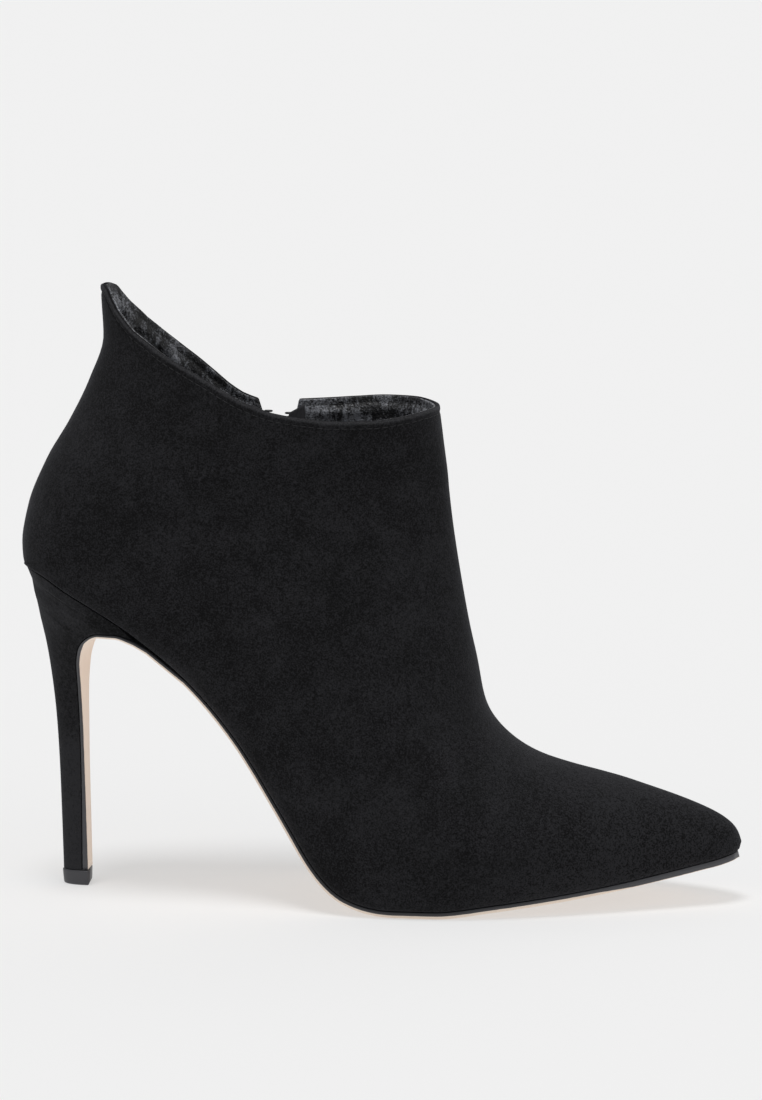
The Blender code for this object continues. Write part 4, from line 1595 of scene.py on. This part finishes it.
@dataclass
class Zip:
    """Coil zip on the inner side: two tapes with their coils, slider and pull."""

    slot: Slot
    tape_wide: float = 8.5     # each tape, from the middle of the zip
    tape_depth: float = 2.45
    tape_thick: float = 0.6
    tape_top: float = 149.3
    tape_slant: float = 2.6    # fall of the trimmed end towards the coils
    coil_wide: float = 2.3
    coil_depth: float = 1.5    # middle of the teeth
    coil_top: float = 147.2
    pitch: float = 1.3         # teeth of one row
    slider_z: float = 137.0
    slider_half: float = 3.6
    # rings of the slider: height over its middle, share of its width
    slider_rows: tuple[tuple[float, float], ...] = (
        (-4.75, 0.84), (-4.05, 0.95), (-2.55, 0.96), (0.0, 0.98), (2.6, 1.0), (3.7, 1.0),
        (4.2, 0.94))
    # the bail's wire: height over its pin, distance out from the suede
    bail: tuple[tuple[float, float], ...] = (
        (-1.4, 0.3), (-1.4, 2.4), (-1.25, 2.95), (-0.8, 3.2), (0.4, 3.25), (1.6, 3.2),
        (2.05, 2.95), (2.2, 2.4), (2.2, 0.3))
    pull_long: float = 25.0
    pull_wide: float = 6.4
    pull_thick: float = 1.2
    pin_out: float = 1.9       # the pull's pin, out from the suede
    tree: BVHTree = field(init=False)

    def __post_init__(self) -> None:
        """Read the last's face once."""
        whole = Last(side=60, fine=480).sections
        faces = ring_faces(*whole.shape[:2], closed=False)
        self.tree = BVHTree.FromPolygons([Vector(p) for p in whole.reshape(-1, 3)], faces)

    def height(self, x: float, z: float) -> float:
        """y of the shell's face on the inner side."""
        level = min(z, self.tape_top + 0.2)
        return self.tree.ray_cast(Vector((x, 90, level)), Vector((0, -1, 0)))[0].y

    def point(self, x: float, z: float, depth: float) -> Array:
        """Point at a depth below the shell's face."""
        low = min(z, 146.0)
        dx = (self.height(x + 3, low) - self.height(x - 3, low)) / 6
        dz = (self.height(x, low + 3) - self.height(x, low - 3)) / 6
        out = unit(np.array([-dx, 1.0, -dz]))
        return np.array([x, self.height(x, z), z]) - out * depth

    def spread(self, z: float) -> float:
        """How far each row of coils stands from the middle."""
        return 0.15 + 3.4 * float(np.clip((z - self.slider_z - 4.0) / 9.0, 0, 1))**1.15

    def beside(self, side: Side, across: float, z: float, depth: float) -> Array:
        """Point beside the zip's middle, on one of its sides."""
        return self.point(self.slot.middle(z) + side.value * across, z, depth)

    def _tape(self, side: Side, cloth: Material) -> Object:
        """One woven tape.

        Args:
            side: its side of the zip.
            cloth: its finish.

        Returns:
            The object.
        """
        rings, marks = [], []
        for level in np.linspace(self.slot.bottom - 2, self.tape_top, 104):
            near = self.spread(level) + 0.3
            steps = np.linspace(near, self.tape_wide, 10)
            fall = smooth_step(level, 120, self.tape_top) * self.tape_slant
            row = [(b, self.tape_depth) for b in steps]
            row += [(b, self.tape_depth + self.tape_thick) for b in steps[::-1]]
            ring = []
            for b, depth in row:
                z = level - fall * (self.tape_wide - b) / (self.tape_wide - near)
                ring.append(self.beside(side, b, z, depth))
                marks.append((b, z))
            rings.append(ring)
        across, along = np.array(marks).T
        return make_object(f"zip_tape_{side.name.lower()}_cloth", *loft(rings), [cloth],
                           {"across": across, "along": along})

    def _teeth(self, side: Side) -> tuple[Array, Array, Array]:
        """Places of one row's teeth with their two directions.

        Args:
            side: its side of the zip.

        Returns:
            Places, directions across the tape and directions outwards.
        """
        shift = 0.0 if side is Side.BACK else self.pitch / 2
        places, along, out = [], [], []
        for z in np.arange(self.slot.bottom + 3 + shift, self.coil_top, self.pitch):
            near = self.spread(z)
            overlap = 0.35 if near < 0.2 else 0.0
            inner = self.beside(side, near - overlap, z, self.coil_depth)
            far = self.beside(side, near + self.coil_wide, z, self.coil_depth)
            places.append((inner + far) / 2)
            along.append(unit(far - inner))
            out.append(self.beside(side, 0.0, z, 0.0) - self.beside(side, 0.0, z, 1.0))
        return np.array(places), np.array(along), np.array(out)

    def _pin(self) -> tuple[Vector, Matrix]:
        """Place of the pull's pin and the turn of the hanging pull."""
        z = self.slider_z - 0.9
        x = self.slot.middle(z)
        lean = (self.height(x, z - 20) - self.height(x, z)) / 20
        turn = Matrix.Rotation(math.atan(lean), 3, "X")
        at = Vector((x, self.height(x, z), z)) + turn @ Vector((0, self.pin_out, 0))
        return at, turn

    def _slider(self, metal: Material) -> Object:
        """Slider body with the bail over it.

        Args:
            metal: its finish.

        Returns:
            The object.
        """
        wing = (self.coil_wide + 0.15 + GAP) / self.slider_half
        half = [(0.86, -0.9), (1.0, -0.35), (1.0, 1.95), (wing, 1.95), (wing, 0.7)]
        marks = half + [(-b, depth) for b, depth in half[::-1]]
        rings = []
        for rise, narrow in self.slider_rows:
            z = self.slider_z + rise
            rings.append([self.point(self.slot.middle(z) + b * self.slider_half
                                     * (narrow if abs(b) > 0.8 else 1.0), z, depth)
                          for b, depth in marks])
        body = loft(rings)
        at, turn = self._pin()
        origin = at - turn @ Vector((0, self.pin_out, 0))
        wire = [(0.8, -0.25), (0.8, 0.25), (0.6, 0.38), (-0.6, 0.38), (-0.8, 0.25),
                (-0.8, -0.25), (-0.6, -0.38), (0.6, -0.38)]
        rings = []
        for k, (v, h) in enumerate(self.bail):
            a, b = self.bail[max(k - 1, 0)], self.bail[min(k + 1, len(self.bail) - 1)]
            run = unit(np.array([b[0] - a[0], b[1] - a[1]]))
            rings.append([origin + turn @ Vector((x, h + run[0] * s, v - run[1] * s))
                          for x, s in wire])
        points, faces = joined([body, loft(rings)])
        return make_object("zip_slider_body", points, faces, [metal], smooth=False)

    def _pull(self, metal: Material) -> Object:
        """Flat pull tab with the window that the bail passes through.

        Args:
            metal: its finish.

        Returns:
            The object.
        """
        at, turn = self._pin()
        half, tip = self.pull_wide / 2, self.pull_long
        edge = [(2.2, 0.3), (2.2, -5.2), (half - 0.5, -8.0), (half, -11.0), (half, 2.4 - tip),
                (half - 0.5, 1.0 - tip), (half - 1.6, 0.25 - tip)]
        outline = edge + [(0.0, -tip)] + [(-x, z) for x, z in edge[::-1]]
        outline += [(-1.9, 0.62), (1.9, 0.62)]
        # as many points as the outline has, most of them along the window's foot
        side = [(1.2, -0.9), (1.2, -4.0)] + [(x, -4.3) for x in (0.9, 0.5, 0.3, 0.1, 0.05)]
        window = side + [(0.0, -4.3)] + [(-x, z) for x, z in side[::-1]]
        window += [(-0.9, -0.58), (0.9, -0.58)]
        deep = self.pull_thick / 2
        rings = [[np.array(at + turn @ Vector((x, y, z))) for x, z in ring]
                 for ring, y in ((outline, deep), (outline, -deep), (window, -deep), (window, deep))]
        points = np.concatenate(rings)
        count = len(outline)
        faces = ring_faces(4, count) + [(3 * count + j, 3 * count + (j + 1) % count,
                                         (j + 1) % count, j) for j in range(count)]
        return make_object("zip_pull_tab", points, outwards(points, faces), [metal], smooth=False)

    def build(self, repeat: Repeat, cloth: Material, coil: Material,
              metal: Material) -> list[Object]:
        """Make the zip.

        Args:
            repeat: sets small pieces along lines.
            cloth: finish of the tapes.
            coil: finish of the coils.
            metal: finish of the slider and pull.

        Returns:
            The pieces.
        """
        made = []
        for side in Side:
            name = side.name.lower()
            tape = self._tape(side, cloth)
            made.append(finish_piece(tape, Body.SHOE, "zip_tape", f"zip_tape_{name}"))
            seed = capsule("tooth", self.coil_wide + 0.5, self.pitch * 0.62, 0.95)
            teeth = repeat.place(f"zip_coil_{name}", seed, *self._teeth(side), coil)
            made.append(finish_piece(teeth, Body.SHOE, "zip_tape"))
        slider, pull = rounded(self._slider(metal), 0.22), rounded(self._pull(metal), 0.3)
        made.append(finish_piece(slider, Body.SHOE, "zip_metal", "zip_slider"))
        made.append(finish_piece(pull, Body.PULL, "zip_metal", "zip_pull"))
        return made


# The studio


def direction(azimuth: float, elevation: float) -> Vector:
    """Direction from the shoe: azimuth 0 to the side that the photograph shows, 90 to the toe."""
    a, e = math.radians(azimuth), math.radians(elevation)
    return Vector((math.sin(a) * math.cos(e), -math.cos(a) * math.cos(e), math.sin(e)))


@dataclass
class Studio:
    """Pale floor, soft light and the camera."""

    target: tuple[float, float, float] = (0.0, 0.0, 107.2)
    azimuth: float = 6.5
    elevation: float = 8.5
    distance: float = 1250.0
    pixels_per_mm: float = 3.247
    floor_size: float = 60.0   # half side, m
    sky: float = 0.41
    glow: float = 0.44         # light that the floor itself gives

    def floor(self) -> None:
        """The floor under the shoe."""
        p = Paint("pale_floor")
        cloud = p.noise(400.0, 1.0, 0.4)
        finish = p.set(Base_Color=p.mix(cloud, (0.449, 0.449, 0.449), (0.451, 0.451, 0.451)),
                       Roughness=0.9, Specular_IOR_Level=0.0, Emission_Color=(1.0, 1.0, 1.0),
                       Emission_Strength=self.glow)
        s = self.floor_size / MM
        plane = make_object("floor", np.array([(-s, -s, 0), (s, -s, 0), (s, s, 0), (-s, s, 0)]),
                            [(0, 1, 2, 3)], [finish], smooth=False)

    def sun(self, name: str, strength: float, azimuth: float, elevation: float,
            size: float) -> None:
        """A broad soft light.

        Args:
            name: its name.
            strength: light on a face turned to it.
            azimuth: where it shines from, degrees.
            elevation: above the floor, degrees.
            size: how broad it looks, degrees.
        """
        light = bpy.data.lights.new(name, "SUN")
        light.energy = strength
        light.angle = math.radians(size)
        obj = linked(name, light)
        obj.rotation_euler = direction(azimuth, elevation).to_track_quat("Z", "Y").to_euler()

    def lights(self) -> None:
        """The sky and the lights."""
        world = bpy.data.worlds.new("studio")
        world.use_nodes = True
        back = world.node_tree.nodes["Background"]
        back.inputs[0].default_value = (1.0, 1.0, 1.0, 1.0)
        back.inputs[1].default_value = self.sky
        bpy.context.scene.world = world
        self.sun("key", 0.30, 50.0, 48.0, 60.0)
        self.sun("top", 1.50, -25.0, 80.0, 20.0)
        self.sun("rim", 0.10, 178.0, 40.0, 40.0)

    def camera(self) -> None:
        """The camera at the photograph's angle."""
        data = bpy.data.cameras.new("camera")
        data.sensor_width = SENSOR
        data.lens = self.pixels_per_mm * self.distance * SENSOR / IMAGE_TALL
        data.clip_end = 400.0
        obj = linked("camera", data)
        back = direction(self.azimuth, self.elevation)
        obj.location = (Vector(self.target) + back * self.distance) * MM
        obj.rotation_euler = (-back).to_track_quat("-Z", "Y").to_euler()
        bpy.context.scene.camera = obj
        bpy.context.scene.view_settings.view_transform = "Standard"

    def build(self) -> None:
        """Make all of it."""
        self.floor()
        self.lights()
        self.camera()


def main() -> None:
    """Build and dress every piece."""
    logging.basicConfig(level=logging.INFO, format="%(name)s %(message)s")
    suede = Suede().paint("black_suede", True)
    cover = Suede(raised=(0.023, 0.023, 0.0255), speck=1.5, heel=0.6).paint("heel_suede", False)
    lining = LiningLeather().paint("black_lining")
    leather = SoleLeather().paint("sole_leather")
    thread = Plain((0.006, 0.006, 0.007), (0.014, 0.014, 0.016), 0.7, grain=0.2).paint("thread")
    hard = Plain((0.036, 0.036, 0.041), (0.055, 0.055, 0.062), 0.42, grain=0.8).paint("lift_plastic")
    metal = Plain((0.10, 0.10, 0.11), (0.16, 0.16, 0.17), 0.28, metal=1.0, grain=0.5,
                  depth=0.01).paint("dark_metal")
    coil = Plain((0.012, 0.012, 0.014), (0.030, 0.030, 0.034), 0.32, grain=0.5).paint("zip_coil")
    cloth = TapeCloth().paint("zip_tape_cloth")
    last = Last()
    shell = Shell(last)
    repeat = Repeat()
    Upper(shell).build(repeat, suede, lining, thread)
    Outsole(last).build(leather)
    Heel(last).build(cover, hard)
    Sock(last).build(lining)
    Zip(shell.slot).build(repeat, cloth, coil, metal)
    Studio().build()


if __name__ == "__main__":
    main()
